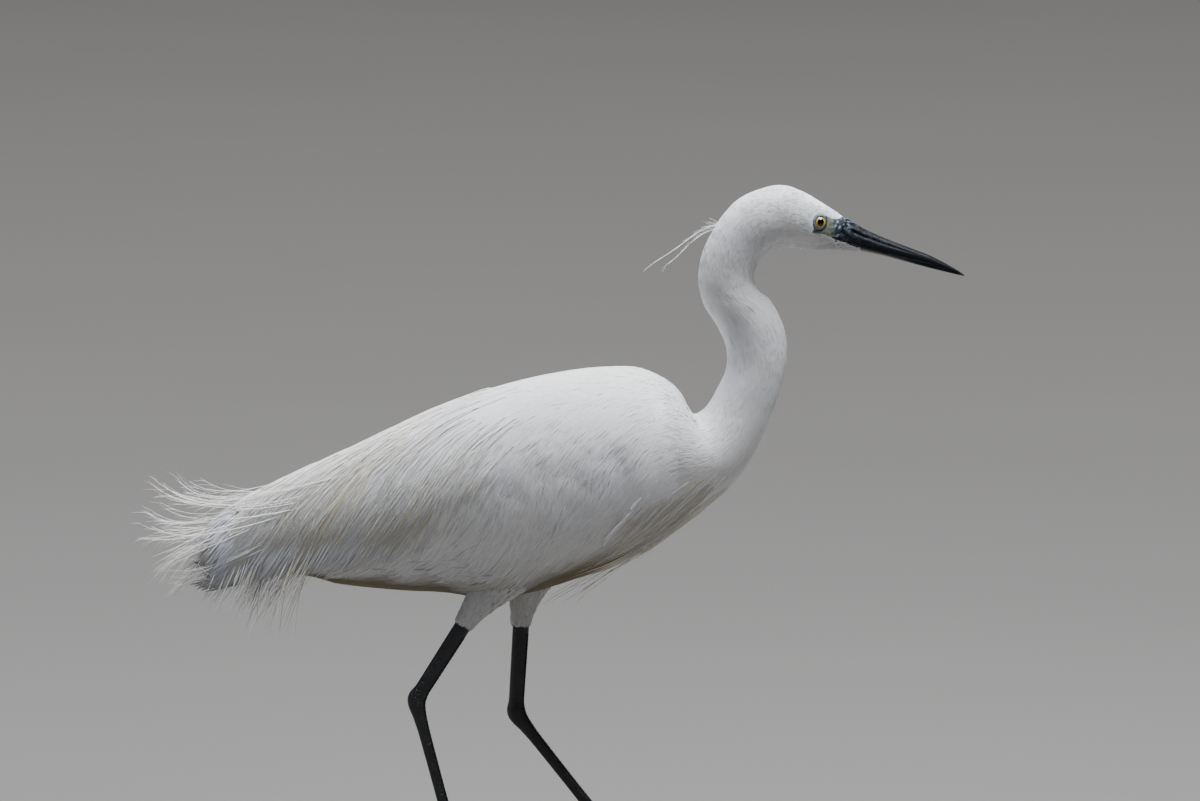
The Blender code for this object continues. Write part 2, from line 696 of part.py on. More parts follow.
def floor_block():
    """A cutter that fills the space below the floor."""
    corners = [(x, y) for x, y in ((-300, -100), (300, -100), (300, 100), (-300, 100))]
    return lofted("cutter", [[np.array([x, y, z]) for x, y in corners] for z in (-20.0, 0.0)])


def toe(name, root, heading, length, radius):
    """One toe with its pads, from the foot's middle outwards along heading, set a little into the floor."""
    direction = np.array([math.cos(heading), math.sin(heading), 0.0])
    path, sizes = [], []
    for share in np.linspace(0, 1, 3 * TOE_PADS + 1):
        swell = 0.5 + 0.5 * math.cos(2 * math.pi * TOE_PADS * share)
        thick = radius * (1 - TOE_TAPER * share) * (0.84 + 0.16 * swell)
        path.append(root + direction * length * share + np.array([0, 0, thick - SOLE_SINK]))
        sizes.append((thick, thick))
    return tube(name, path, sizes, 6)


def claw(name, root, heading, start, length, radius):
    """A toe's hooked claw, its root face a hair's breadth from the toe's end."""
    direction = np.array([math.cos(heading), math.sin(heading), 0.0])
    base = radius * (1 - TOE_TAPER)
    path, sizes = [], []
    for share in np.linspace(0, 1, 5):
        thick = max(base * 0.8 * (1 - share**1.3), 0.22)
        rise = base * 1.15 + 0.10 * length * math.sin(math.pi * min(share * 1.3, 1.0))
        height = max(rise * (1 - share**2.2), thick + 0.05)
        path.append(root + direction * (start + GAP + length * share) + np.array([0, 0, height]))
        sizes.append((thick * 0.75, thick))
    path[1][2] = path[0][2]
    return tube(name, path, sizes, 6)


def thigh_tube(which, bare, along):
    """The feathered thigh, from inside the body down to the bare tibia."""
    bend = bare - along * THIGH_BEND
    top = bend - along * THIGH_BEND + HIP
    path = [top * (1 - s) ** 2 + bend * 2 * s * (1 - s) + bare * s**2 for s in np.linspace(0, 0.9, 9)]
    path += [bare - along * 1.5, bare]
    sizes = []
    for s in np.linspace(0, 1, len(path)):
        sizes.append([end + gain * (1 - s) ** 1.45 for end, gain in zip(THIGH_END, THIGH_GAIN)])
    return tube("thigh_" + which, path, sizes, 16, up=(1, 0, 0))


def tarsus_tube(which, ankle, along, foot):
    """The tarsus with the ankle's knuckle, ending upright a hair's breadth over the foot."""
    end = foot + UPRIGHT_END
    down = unit(end - ankle)
    upper = ankle - along * (KNUCKLE - GAP)
    path = [upper, upper + along * 3, ankle - along * 1.0, ankle + down * 3.5, ankle + down * 9]
    path += [ankle + (end - ankle) * s for s in np.linspace(0.2, 1, 5)] + [foot]
    return tube("tarsus_" + which, path, TARSUS_SIZES, 12, up=(1, 0, 0))


def leg(which, paints):
    """Feathered thigh, bare tibia, tarsus and foot of one side."""
    data = LEGS[which]
    y = data["side"] * LEG_SPREAD
    bare = np.array([data["bare"][0], y, data["bare"][1]])
    ankle = np.array([data["ankle"][0], y, data["ankle"][1]])
    sole = np.array([data["foot_x"], y, 0.0])
    tarsus_foot = sole + np.array([0, 0, TARSUS_END_HEIGHT])
    along = unit(ankle - bare)
    thigh = thigh_tube(which, bare, along)
    start, end = bare + along * GAP, ankle - along * KNUCKLE
    path = [start + (end - start) * s for s in np.linspace(0, 1, 8)]
    sizes = [np.array(TIBIA_ENDS[0]) * (1 - s) + np.array(TIBIA_ENDS[1]) * s for s in np.linspace(0, 1, 8)]
    tibia = tube("tibia_" + which, path, sizes, 12, up=(1, 0, 0))
    tarsus = tarsus_tube(which, ankle, along, tarsus_foot)
    foot = ball("foot_" + which, sole + np.array([0, 0, FOOT_BALL_HEIGHT]), FOOT_BALL, (0, 0, 1), 6, 10)
    pieces = []
    for toe_name, spread, length, claw_length, radius in TOES:
        heading = math.radians(spread * data["side"])
        pieces.append(toe("toe", sole, heading, length, radius))
        nail = claw(f"claw_{which}_{toe_name}", sole, heading, length, claw_length, radius)
        finish(nail, paints["black"])
    boolean(foot, pieces, "UNION")
    boolean(foot, [floor_block()], "DIFFERENCE")
    level, above = tarsus_foot - np.array([0, 0, GAP]), tarsus_foot + np.array([0, 0, CUT_HEIGHT])
    cutter = tube("cutter", [above, level], [(CUT_HEIGHT, CUT_HEIGHT)] * 2, 8, up=(1, 0, 0))
    boolean(foot, [cutter], "DIFFERENCE")
    finish(tibia, paints["black"])
    finish(tarsus, paints["black"])
    finish(foot, paints["yellow"])
    return thigh


def bill_half(name, upper, steps=12, sides=6):
    """One mandible: an arch above the mouth line, or a trough below it, its root square to the face."""
    _, root_z, lean = section(at("bill root"))[:3]
    root_slope = math.tan(math.radians(lean))
    rings = []
    for i in range(steps + 1):
        share = i / steps
        top, mouth, under, wide = between(BILL_SHAPE, share)
        edge = mouth + (GAP / 2 if upper else -GAP / 2)
        crest = top if upper else under
        ring = []
        for k in range(sides + 1):
            angle = math.pi * k / sides
            z = edge + (crest - edge) * math.sin(angle) ** BILL_ARCH
            x = BILL_ROOT_X + BILL_SPAN * share + (z - root_z) * root_slope * (1 - share) ** 2
            ring.append(np.array([x, wide * math.cos(angle), z]))
        rings.append(ring)
    return lofted(name, rings)


def bill_side(share, height):
    """A point on the upper mandible's left side, at a share along it and a share up from the mouth line."""
    top, mouth, _, wide = between(BILL_SHAPE, share)
    out = math.sqrt(1 - height ** (2 / BILL_ARCH))
    return np.array([BILL_ROOT_X + BILL_SPAN * share, wide * out, mouth + height * (top - mouth)])


def eye_place(side):
    """The middle of an eye's ball and the way it looks."""
    look = unit(outward(EYE_AT, side * EYE_TURN) + np.array([0.16, 0, 0]))
    return skin(EYE_AT, side * EYE_TURN, -EYE_DEPTH), look


def head_with_lids():
    """The head with its lids, eye sockets, mouth corners and nape plumes."""
    head = skin_body("head", HEAD_CUT, at("bill root"), 14, 18, start_shift=GAP)
    lids, sockets = [], []
    for side in (-1, 1):
        centre, look = eye_place(side)
        lids.append(ball("lid", centre + look * 0.2, LID_RADII, look, 6, 14))
        sockets.append(ball("socket", centre, (EYE_RADIUS + GAP,) * 3, look, 8, 14))
        window = [centre + look * 2.0, centre + look * 9.0]
        sockets.append(tube("window", window, [LID_OPENING] * 2, 14, up=(0.1, 0.2, 1)))
        gape = [skin(place, side * GAPE_TURN, 0.3) for place in np.linspace(*GAPE_PLACES, 5)]
        sockets.append(tube("gape", gape, [(1.3, 0.2)] + [(1.3, 0.4)] * 4, 6))
    boolean(head, lids, "UNION")
    boolean(head, sockets, "DIFFERENCE")
    return boolean(head, nape_plumes(), "UNION")


def head_and_bill(paints):
    """Head, eyes, and both mandibles with the nostrils."""
    finish(head_with_lids(), paints["white"])
    for side, word in ((-1, "right"), (1, "left")):
        centre, look = eye_place(side)
        finish(ball("eye_" + word, centre, (EYE_RADIUS,) * 3, look, 8, 14), paints["iris"])
    upper = bill_half("bill_upper", True)
    nostrils = []
    for side in (-1, 1):
        path = [bill_side(share, height) * np.array([1, side, 1]) for share, height in NOSTRIL]
        nostrils.append(tube("nostril", path, [(0.9, 0.5), (1.1, 0.7), (0.8, 0.4)], 8))
    boolean(upper, nostrils, "DIFFERENCE")
    finish(upper, paints["black"])
    finish(bill_half("bill_lower", False), paints["black"])


def tail_core():
    """The tail's flesh with its coverts: the skin's rear, drawn in to a low wedge."""
    core = skin_body("tail", at("tail middle", -0.2), TAIL_CUT, 6, 16, end_shift=-GAP)
    base = section(TAIL_CUT)[1]
    end_x, end_z = TAIL_CORE_END
    for vertex in core.data.vertices:
        share = min(max((vertex.co.x / MM - end_x) / (TAIL_CORE_FRONT - end_x), 0.0), 1.0)
        middle = end_z + (base - 2.5 - end_z) * share
        drop = vertex.co.z / MM - base
        vertex.co.z = (middle + drop * (TAIL_CORE_LOW + 0.70 * share**1.4)) * MM
        vertex.co.y *= TAIL_CORE_SLIM + 0.50 * share
    return core


def body_parts(paints):
    """Torso, wings, mantle and tail, each cut clear of what lies over it, with their feathers."""
    mantle = mantle_core()
    boolean(mantle, back_plumes(random.Random(3)), "UNION", "MANIFOLD")
    torso = skin_body("torso", TAIL_CUT, NECK_CUT, 18, 20)
    tail = tail_core()
    for word, side in (("right", -1), ("left", 1)):
        wing = wing_core("wing_" + word, side)
        boolean(wing, wing_feathers(side, random.Random(WING_SEED + side)), "UNION")
        boolean(wing, [plume_cutter(MANTLE_OUTLINE)], "DIFFERENCE")
        finish(wing, paints["white"])
    cutters = [wing_cutter(-1), wing_cutter(1), plume_cutter(MANTLE_OUTLINE), plume_cutter(PLUME_OUTLINE)]
    boolean(torso, cutters, "DIFFERENCE")
    boolean(torso, breast_plumes(random.Random(7)), "UNION")
    boolean(tail, [wing_cutter(-1), wing_cutter(1)], "DIFFERENCE")
    boolean(tail, tail_feathers(), "UNION")
    for made in (mantle, torso, tail):
        finish(made, paints["white"])


def centre():
    """Sets the model's box square over the origin."""
    corners = [np.array(v.co) for made in bpy.data.objects for v in made.data.vertices]
    middle = (np.min(corners, axis=0) + np.max(corners, axis=0)) / 2
    for made in bpy.data.objects:
        for vertex in made.data.vertices:
            vertex.co.x -= middle[0]
            vertex.co.y -= middle[1]


def main():
    for old in list(bpy.data.objects):
        bpy.data.objects.remove(old)
    paints = {
        "white": paint("white plumage", (0.90, 0.90, 0.89), 0.7),
        "black": paint("black horn", (0.02, 0.02, 0.025), 0.4),
        "yellow": paint("yellow foot skin", (0.62, 0.52, 0.10), 0.5),
        "iris": paint("eye", (0.75, 0.62, 0.15), 0.1),
    }
    head_and_bill(paints)
    neck_upper = skin_body("neck_upper", NECK_MIDDLE_CUT, HEAD_CUT, 9, 18, start_shift=GAP)
    neck_lower = skin_body("neck_lower", NECK_CUT, NECK_MIDDLE_CUT, 9, 18, start_shift=GAP)
    finish(neck_upper, paints["white"])
    finish(neck_lower, paints["white"])
    body_parts(paints)
    for which in LEGS:
        thigh = leg(which, paints)
        boolean(thigh, [skin_body("cutter", TAIL_CUT, NECK_CUT, 18, 20, lift=GAP)], "DIFFERENCE")
        boolean(thigh, [wing_cutter(LEGS[which]["side"])], "DIFFERENCE")
        finish(thigh, paints["white"])
    centre()


main()
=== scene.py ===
"""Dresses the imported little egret: skin, feathers, plumes, bill, eyes, legs, then the stage and the camera.

The bird's shape is the one that its solids have: a skin lofted through named cross sections, in millimetres.
Every feather is placed on it by a place (section number), a turn (degrees from the back, + on the left) and a
lift off the skin. The coat is plain mesh, made from arrays of closed tapering blades.
"""

import math

import bpy
import numpy as np
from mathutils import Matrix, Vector


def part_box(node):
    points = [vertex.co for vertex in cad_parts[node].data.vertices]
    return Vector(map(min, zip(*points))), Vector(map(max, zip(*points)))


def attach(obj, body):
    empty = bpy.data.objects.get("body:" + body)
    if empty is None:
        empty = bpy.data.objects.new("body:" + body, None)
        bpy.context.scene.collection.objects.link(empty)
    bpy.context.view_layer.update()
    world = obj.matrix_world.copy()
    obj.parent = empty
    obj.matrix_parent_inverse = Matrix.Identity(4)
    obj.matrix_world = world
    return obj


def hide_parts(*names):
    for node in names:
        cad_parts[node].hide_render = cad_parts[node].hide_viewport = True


bl_info = {
    "name": "Little egret dressing",
    "version": (1, 0, 0),
    "blender": (4, 5, 0),
    "location": "3D View > Sidebar > Egret",
    "description": "Skin, feathers, plumes, bill, eyes and legs of a life-size little egret",
    "category": "Object",
}

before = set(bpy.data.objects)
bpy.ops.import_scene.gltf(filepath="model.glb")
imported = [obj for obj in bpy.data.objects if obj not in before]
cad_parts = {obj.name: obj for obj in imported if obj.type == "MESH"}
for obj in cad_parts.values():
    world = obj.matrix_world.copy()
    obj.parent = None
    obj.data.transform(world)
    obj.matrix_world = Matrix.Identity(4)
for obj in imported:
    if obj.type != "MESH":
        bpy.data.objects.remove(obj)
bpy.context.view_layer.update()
MM = 0.001

# The skin's cross sections from tail to bill: the middle's x and z, how far the top leans forward from
# upright in degrees, half of the depth, and half of the width
SECTIONS = [
    ("plume end", -262.0, 208.0, 0, 20.0, 12.0),
    ("behind tail", -238.0, 197.0, 0, 19.5, 14.5),
    ("tail end", -215.0, 190.5, 0, 21.5, 17.0),
    ("tail middle", -190.0, 199.5, 0, 27.5, 20.0),
    ("tail root", -170.0, 206.5, 0, 30.7, 24.0),
    ("rump", -147.0, 211.5, 0, 36.6, 30.0),
    ("loin", -120.0, 216.2, 1, 44.5, 37.0),
    ("flank", -92.0, 221.6, 1, 52.4, 44.5),
    ("thigh", -65.0, 227.0, 1, 59.0, 50.0),
    ("belly", -37.0, 230.6, 1, 65.4, 53.5),
    ("keel", -10.0, 235.7, 0, 67.2, 55.5),
    ("back", 15.0, 241.7, 0, 65.7, 55.5),
    ("shoulder", 39.0, 247.2, -1, 62.5, 53.0),
    ("breast", 61.5, 253.7, -5, 55.3, 48.5),
    ("upper breast", 79.5, 257.6, -9, 44.6, 42.0),
    ("crop", 93.0, 259.3, -18, 34.4, 34.0),
    ("throat base", 103.0, 262.0, -40, 26.0, 26.5),
    ("neck root", 111.0, 270.0, -64, 21.7, 21.5),
    ("neck lower", 118.0, 281.5, -84, 20.6, 18.5),
    ("neck front", 124.0, 294.0, -90, 19.9, 17.0),
    ("neck bulge", 129.5, 310.5, -97, 19.0, 15.8),
    ("neck turn", 129.0, 328.0, -108, 19.0, 15.3),
    ("neck hollow", 122.0, 343.5, -113, 18.5, 14.6),
    ("neck back", 113.5, 354.5, -104, 17.6, 14.2),
    ("nape low", 110.5, 367.5, -88, 17.0, 14.2),
    ("nape", 114.5, 382.0, -63, 17.3, 14.6),
    ("hind crown", 124.5, 396.4, -38, 18.4, 15.4),
    ("crown back", 134.0, 402.2, -18, 19.4, 15.9),
    ("crown", 145.0, 404.8, 0, 19.7, 15.5),
    ("forehead", 156.0, 403.0, 6, 17.9, 14.2),
    ("eye", 167.5, 399.2, 11, 14.9, 11.8),
    ("face", 177.5, 395.8, 15, 11.6, 8.8),
    ("bill root", 181.5, 394.4, 17, 10.4, 7.6),
]
NAMES = [row[0] for row in SECTIONS]
SIZES = np.array([row[1:] for row in SECTIONS], float)


def at(name, share=0.0):
    """The skin's place number of a named section, or a share of the way to the next one."""
    return NAMES.index(name) + share


# The wing on the skin: place, upper and lower edge in degrees from the back, thickness
WING_OUTLINE = np.array([
    (at("tail end", 0.2), 96, 122, 4.0),
    (at("tail middle"), 64, 128, 5.5),
    (at("tail root"), 48, 131, 8.5),
    (at("rump"), 38, 134, 10.0),
    (at("loin"), 34, 141, 10.5),
    (at("flank"), 32, 147, 10.5),
    (at("thigh"), 33, 149, 10.5),
    (at("belly"), 34, 148, 10.0),
    (at("keel"), 36, 148, 9.0),
    (at("back"), 38, 146, 7.0),
    (at("shoulder"), 42, 136, 6.2),
    (at("breast"), 52, 116, 5.6),
    (at("breast", 0.6), 68, 92, 4.2),
])
WING_TIP, WING_BEND = WING_OUTLINE[0][0], WING_OUTLINE[-1][0]

# Rows of vanes: name, count, then for the topmost and the lowest feather the root's share along the wing and
# share down it, and the tip's; then width, and root and tip height over the wing's flesh
WING_ROWS = [
    ("primary", 8, (0.58, 0.60, 0.99, 0.45), (0.58, 0.94, 0.80, 1.00), 10.0, -0.7, 0.2),
    ("secondary", 16, (0.40, 0.10, 0.90, 0.20), (0.38, 0.95, 0.64, 1.03), 14.0, -0.8, 0.3),
    ("greater covert", 18, (0.25, 0.14, 0.60, 0.16), (0.20, 0.95, 0.52, 1.00), 12.0, -0.8, 0.5),
    ("median covert", 18, (0.14, 0.16, 0.42, 0.16), (0.10, 0.95, 0.38, 0.99), 12.0, -0.8, 0.5),
]

# Bundles of long thin plumes that leave the back and curve up behind the tail: x and z from root to tip, and
# how many
WISPS = [
    ([(-130.0, 243.0), (-166.0, 234.0), (-197.0, 228.0), (-219.0, 231.0), (-235.5, 245.5)], 5),
    ([(-152.0, 233.0), (-186.0, 226.0), (-214.0, 224.0), (-236.0, 229.5), (-250.0, 238.0)], 6),
    ([(-160.0, 226.0), (-198.0, 217.0), (-224.0, 211.0), (-244.0, 212.5), (-261.0, 222.0)], 6),
    ([(-170.0, 220.0), (-203.0, 210.0), (-226.0, 204.0), (-244.0, 204.0), (-259.0, 208.0)], 4),
    ([(-186.0, 212.0), (-208.0, 202.0), (-225.0, 193.5), (-238.0, 185.5), (-248.0, 175.0)], 5),
    ([(-178.0, 204.0), (-200.0, 192.0), (-218.0, 182.0), (-230.0, 175.5), (-240.0, 170.0)], 6),
]
# Breast plumes on one side, from the middle outwards: root place and angle, tip place, angle and lift
BREAST_FAN = np.array([
    (at("crop"), 178, at("back", 0.1), 176, 15.0),
    (at("crop", 0.3), 162, at("keel", 0.2), 170, 11.0),
    (at("upper breast", 0.7), 150, at("shoulder", 0.6), 163, 5.0),
    (at("crop", 0.2), 138, at("back", 0.6), 158, 4.0),
])
# Nape plumes: x and z from root to tip, and how far the tip lies to the left
NAPE_PLUMES = [
    ([(113.0, 396.0), (103.0, 399.5), (91.0, 393.5), (81.5, 387.0), (72.0, 380.0), (60.0, 371.5)], -3.0),
    ([(111.0, 391.0), (101.0, 396.0), (89.0, 389.0), (81.0, 380.5), (75.5, 376.0), (72.0, 371.0)], 3.0),
]
TAIL_ROOT, TAIL_TIP = (-150.0, 189.0), (-229.0, 173.0)
TAIL_CORE_END = (-195.0, 181.5)
TAIL_SQUEEZE_FRONT = -135.0  # x where the flesh starts to draw in to the tail's low wedge
TAIL_SQUEEZE_LEFT = (0.16, 0.42)  # what is left of the flesh's depth and width at the wedge's end
PLUMES_END_X = -262.0  # no plume reaches further back

# Head: the eye's place, angle and depth in the skin, its ball, and the lids' opening as half axes and tilt
EYE_AT, EYE_TURN, EYE_DEPTH, EYE_RADIUS = at("eye", 0.06), 76, 3.9, 5.4
EYE_FORWARD = 0.16  # how much each eye looks towards the bill
LID_OPENING, LID_TILT = (3.1, 3.9), 16
PUPIL, IRIS = 0.40, 0.57  # where they end, in shares of the ring that eyeballs carry
LID_RING = (-0.8, 0.3, 4.5, 5.3)  # the bare ring of the lids: its middle off the eye's, and its half axes
BEHIND_LIDS = -1.5  # points this far behind an eye's middle are on the head's other side
FAR_OFF = 99.0

# The bill: share from root to tip, top, mouth line and underside as z, and half width
BILL_ROOT_X, BILL_SPAN = 181.9, 78.0
BILL_SHAPE = np.array([
    (0.00, 404.6, 390.8, 384.2, 7.2),
    (0.08, 401.3, 389.2, 383.8, 6.6),
    (0.22, 395.9, 386.1, 382.9, 5.9),
    (0.38, 390.8, 382.6, 380.2, 5.1),
    (0.55, 385.7, 379.4, 376.4, 4.4),
    (0.72, 380.6, 375.9, 372.6, 3.5),
    (0.84, 375.8, 372.7, 370.2, 2.6),
    (0.935, 371.5, 370.0, 368.4, 1.6),
    (1.00, 368.1, 367.7, 367.3, 0.5),
])
BILL_ARCH = 0.85

LEGS = {
    "right": {"side": -1, "bare": (-53.0, 151.5), "ankle": (-84.0, 102.5), "foot_x": -59.5},
    "left": {"side": 1, "bare": (-18.0, 144.5), "ankle": (-21.5, 86.5), "foot_x": 38.0},
}
LEG_SPREAD = 25.0
THIGH_BEND, HIP = 22.0, np.array([14.0, 0.0, 8.0])
THIGH_END, THIGH_GAIN = (5.6, 6.0), (9.5, 17.0)
TIBIA_ENDS = (4.3, 5.2), (3.8, 4.8)
TARSUS_SIZES = [(4.1, 4.9), (4.5, 5.7), (4.7, 6.0), (4.4, 5.4), (3.7, 4.4), (3.1, 3.7)]
TARSUS_SIZES += [(2.9, 3.5), (2.9, 3.4), (3.0, 3.5), (3.3, 3.8), (3.8, 4.2)]
KNUCKLE, TARSUS_END_HEIGHT = 7.0, 6.5
UPRIGHT_END = np.array([0.0, 0.0, 4.0])
SOLE_SINK = 0.6
TOES = [
    ("middle", 2, 60.0, 9.0, 3.1),
    ("inner", -24, 44.0, 9.0, 2.8),
    ("outer", 30, 48.0, 8.0, 2.8),
    ("hind", 176, 26.0, 12.0, 2.7),
]
TOE_PADS, TOE_TAPER = 3, 0.32

# The solids stand square over the origin, a little off the sections' own zero
SHIFT = np.array([
    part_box("bill_upper")[1].x / MM - BILL_ROOT_X - BILL_SPAN,
    (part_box("eye_left")[0].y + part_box("eye_right")[1].y) / 2 / MM,
    0.0,
])

# The coat by place: length of a tuft, half of its width, square millimetres for each, how deep the skin
# lies under the solids' surface, and how high a tuft's tip stands over it
COAT = np.array([
    (at("plume end"), 22.0, 0.50, 3.2, 0.5, 0.2),
    (at("tail root"), 22.0, 0.50, 3.0, 0.45, 0.2),
    (at("rump"), 20.0, 0.52, 2.8, 0.4, 0.18),
    (at("belly"), 18.0, 0.52, 2.4, 0.35, 0.14),
    (at("shoulder"), 17.0, 0.50, 2.0, 0.22, 0.11),
    (at("upper breast"), 16.0, 0.45, 1.7, 0.18, 0.09),
    (at("neck root"), 14.0, 0.38, 1.35, 0.14, 0.08),
    (at("neck turn"), 12.0, 0.33, 1.1, 0.12, 0.08),
    (at("nape low"), 10.0, 0.29, 0.9, 0.11, 0.08),
    (at("hind crown"), 8.0, 0.25, 0.72, 0.1, 0.07),
    (at("crown"), 6.5, 0.23, 0.60, 0.1, 0.06),
    (at("forehead"), 5.0, 0.20, 0.50, 0.1, 0.05),
    (at("eye"), 3.4, 0.18, 0.40, 0.1, 0.05),
    (at("bill root"), 2.6, 0.16, 0.34, 0.1, 0.05),
])

# The lower edge of the cloak of long feathers that falls over wings and tail: place and angle
CLOAK_EDGE = np.array([
    (at("plume end"), 122),
    (at("tail root", 0.7), 124),
    (at("rump", 0.4), 121),
    (at("loin", 0.3), 112),
    (at("loin", 0.8), 105),
    (at("thigh", 0.1), 86),
    (at("belly", 0.2), 75),
    (at("shoulder", 0.8), 72),
    (at("breast", 0.6), 56),
])
CLOAK_DEPTH = 1.9  # how much lower the folded wing lies behind its bend
# The cloak's rounded rear end: its place, how many places long it rounds, and what share of the width it
# draws in
REAR_END, REAR_ROUND, REAR_DRAW = at("behind tail", 0.75), 0.9, 0.9
# The flank's feathers over the right and the left thigh: their places, angle, spread and height
FLANK_PLACES, FLANK_TURN, FLANK_SPREAD, FLANK_HEIGHT = (9.15, 10.0), 149, (0.95, 15.0), 6.0
SKIN_MAP = (0.1, 0.88)  # where the skin's unwrap starts along its length, and how long it is
ROOT_PATCH = 0.003  # how large a feather's patch is on that unwrap
SKY = np.array([0.0, 0.0, 1.0])  # feathers in the light from above are shaded as if turned this way

# The upper edge of the feathers on the lower half of the bill: where it starts as x and z, and its fall
CHIN_TOP, CHIN_FALL = (172.0, 393.2), 0.33

# Which way the coat lies, in degrees from straight back towards straight down, at 0, 30 ... 180 degrees from
# the middle of the back
LIE = [
    (at("plume end"), (0, 10, 18, 26, 26, 12, 0)),
    (at("tail root"), (0, 18, 38, 48, 42, 14, 0)),
    (at("loin"), (0, 22, 48, 58, 50, 12, 0)),
    (at("thigh"), (0, 18, 52, 64, 50, 15, 0)),
    (at("keel"), (0, 14, 45, 74, 60, 20, 0)),
    (at("shoulder"), (0, 12, 36, 66, 48, 12, 0)),
    (at("breast", 0.6), (0, 10, 20, 28, 22, 8, 0)),
    (at("crop"), (0, 8, 14, 14, 10, 4, 0)),
    (at("neck root"), (0, 4, 6, 4, 2, 0, 0)),
    (at("neck turn"), (0, 2, 4, 4, 2, 0, 0)),
    (at("nape low"), (0, 5, 10, 10, 5, 0, 0)),
    (at("hind crown"), (0, 12, 22, 24, 14, 5, 0)),
    (at("crown"), (0, 12, 22, 22, 10, 2, 0)),
    (at("eye"), (0, 6, 10, 10, 2, 0, 0)),
    (at("bill root"), (0, 0, 0, 0, 0, 0, 0)),
]


def section(place):
    """Middle x and z, lean, half depth and half width at places, on a smooth curve through the sections."""
    place = np.asarray(place, float)
    beyond = np.minimum(place, 0.0)[..., None]
    low = np.clip(np.floor(place), 0, len(SIZES) - 2).astype(int)
    t = (np.maximum(place, 0.0) - low)[..., None]
    before, after = SIZES[np.maximum(low - 1, 0)], SIZES[np.minimum(low + 2, len(SIZES) - 1)]
    start, end = SIZES[low], SIZES[low + 1]
    slope_start, slope_end = (end - before) / 2, (after - start) / 2
    found = (2 * t**3 - 3 * t**2 + 1) * start + (t**3 - 2 * t**2 + t) * slope_start
    found += (3 * t**2 - 2 * t**3) * end + (t**3 - t**2) * slope_end
    return np.moveaxis(found + beyond * (SIZES[1] - SIZES[0]), -1, 0)


def skin(place, turn, lift=0.0):
    """The skin's points at places and angles, raised by lift."""
    x, z, lean, deep, wide = section(place)
    angle, tilt = np.radians(turn), np.radians(lean)
    up, side = np.cos(angle), np.sin(angle)
    out_up, out_side = wide * up, deep * side
    length = np.hypot(out_up, out_side)
    height = deep * up + lift * out_up / length
    across = wide * side + lift * out_side / length
    return np.stack([x + np.sin(tilt) * height, across, z + np.cos(tilt) * height], -1)


def unit(vectors):
    """The same directions at length one."""
    vectors = np.asarray(vectors, float)
    return vectors / np.maximum(np.linalg.norm(vectors, axis=-1, keepdims=True), 1e-9)


def outward(place, turn):
    """The skin's outward directions."""
    return unit(skin(place, turn, 1.0) - skin(place, turn, 0.0))


def slopes(place, turn):
    """How the skin runs for one place forward, and for one degree round."""
    forward = (skin(place + 0.01, turn) - skin(place - 0.01, turn)) / 0.02
    around = skin(place, turn + 0.5) - skin(place, turn - 0.5)
    return forward, around


CREASE_ADVANCE = 3.0  # in the crease, one place forward is less than this many millimetres of skin


def folded(place, turn):
    """True in the crease between neck and back, where the sections cross."""
    forward, _ = slopes(place, turn)
    lean = np.radians(section(place)[2])
    return forward[..., 0] * np.cos(lean) - forward[..., 2] * np.sin(lean) < CREASE_ADVANCE


def coat(place, column):
    """A column of the coat's table at places."""
    return np.interp(place, COAT[:, 0], COAT[:, column])


def smooth(value, low, high):
    """0 below low, 1 above high, and a smooth step between."""
    t = np.clip((value - low) / (high - low), 0, 1)
    return t * t * (3 - 2 * t)


def cloak_edge(place):
    """The cloak's lower edge, in degrees from the back."""
    return np.interp(place, CLOAK_EDGE[:, 0], CLOAK_EDGE[:, 1])


def wing_edge(place, column):
    """The folded wing's upper (1) or lower (2) edge, in degrees from the back."""
    return np.interp(place, WING_OUTLINE[:, 0], WING_OUTLINE[:, column])


def cloaked(place, turn, soft=7.0):
    """1 under the cloak of long feathers, 0 past its lower edge."""
    edge = cloak_edge(place)
    return 1 - smooth(np.abs(turn), edge - soft, edge + soft)


def flank(place, turn):
    """1 in the middle of the flank's feathers over a thigh, 0 away from it."""
    middle = np.where(np.asarray(turn) < 0, FLANK_PLACES[0], FLANK_PLACES[1])
    along, around = FLANK_SPREAD
    away = ((place - middle) / along) ** 2 + ((np.abs(turn) - FLANK_TURN) / around) ** 2
    return np.exp(-away)


def settle(place, turn):
    """How much lower the coat lies on the folded wing, and how much higher on the flank over each thigh."""
    rear = 1 - 0.35 * smooth(place, at("thigh"), at("back"))
    rear = rear - 0.65 * smooth(place, at("shoulder"), at("breast"))
    sides = 1 - smooth(np.abs(turn), 124, 146)
    near = np.clip((place - REAR_END) / REAR_ROUND, 0, 1)
    end = REAR_DRAW * section(place)[4] * (1 - np.sqrt(near * (2 - near)))
    wing = CLOAK_DEPTH * rear * sides * (1 - cloaked(place, turn))
    return FLANK_HEIGHT * flank(place, turn) - wing - end


def lie(place, turn):
    """Which way the coat lies there, in radians from straight back towards straight down."""
    rows = np.array([row[0] for row in LIE])
    table = np.array([row[1] for row in LIE], float)
    columns = np.stack([np.interp(place, rows, table[:, c]) for c in range(table.shape[1])], -1)
    where = np.clip(np.abs(turn) / 30, 0, 5.999)
    low = where.astype(int)
    share = where - low
    first = np.take_along_axis(columns, low[..., None], -1)[..., 0]
    second = np.take_along_axis(columns, low[..., None] + 1, -1)[..., 0]
    return np.radians(first * (1 - share) + second * share)


def waves(points, size, seed):
    """Smooth chance between about -1 and 1 in space, with hollows and bumps of this size."""
    chance = np.random.default_rng(seed)
    total = np.zeros(points.shape[:-1])
    for _ in range(7):
        way = unit(chance.normal(size=3)) * (2 * math.pi / size) * chance.uniform(0.6, 1.5)
        total += np.sin(points @ way + chance.uniform(0, 2 * math.pi))
    return total / 2.6


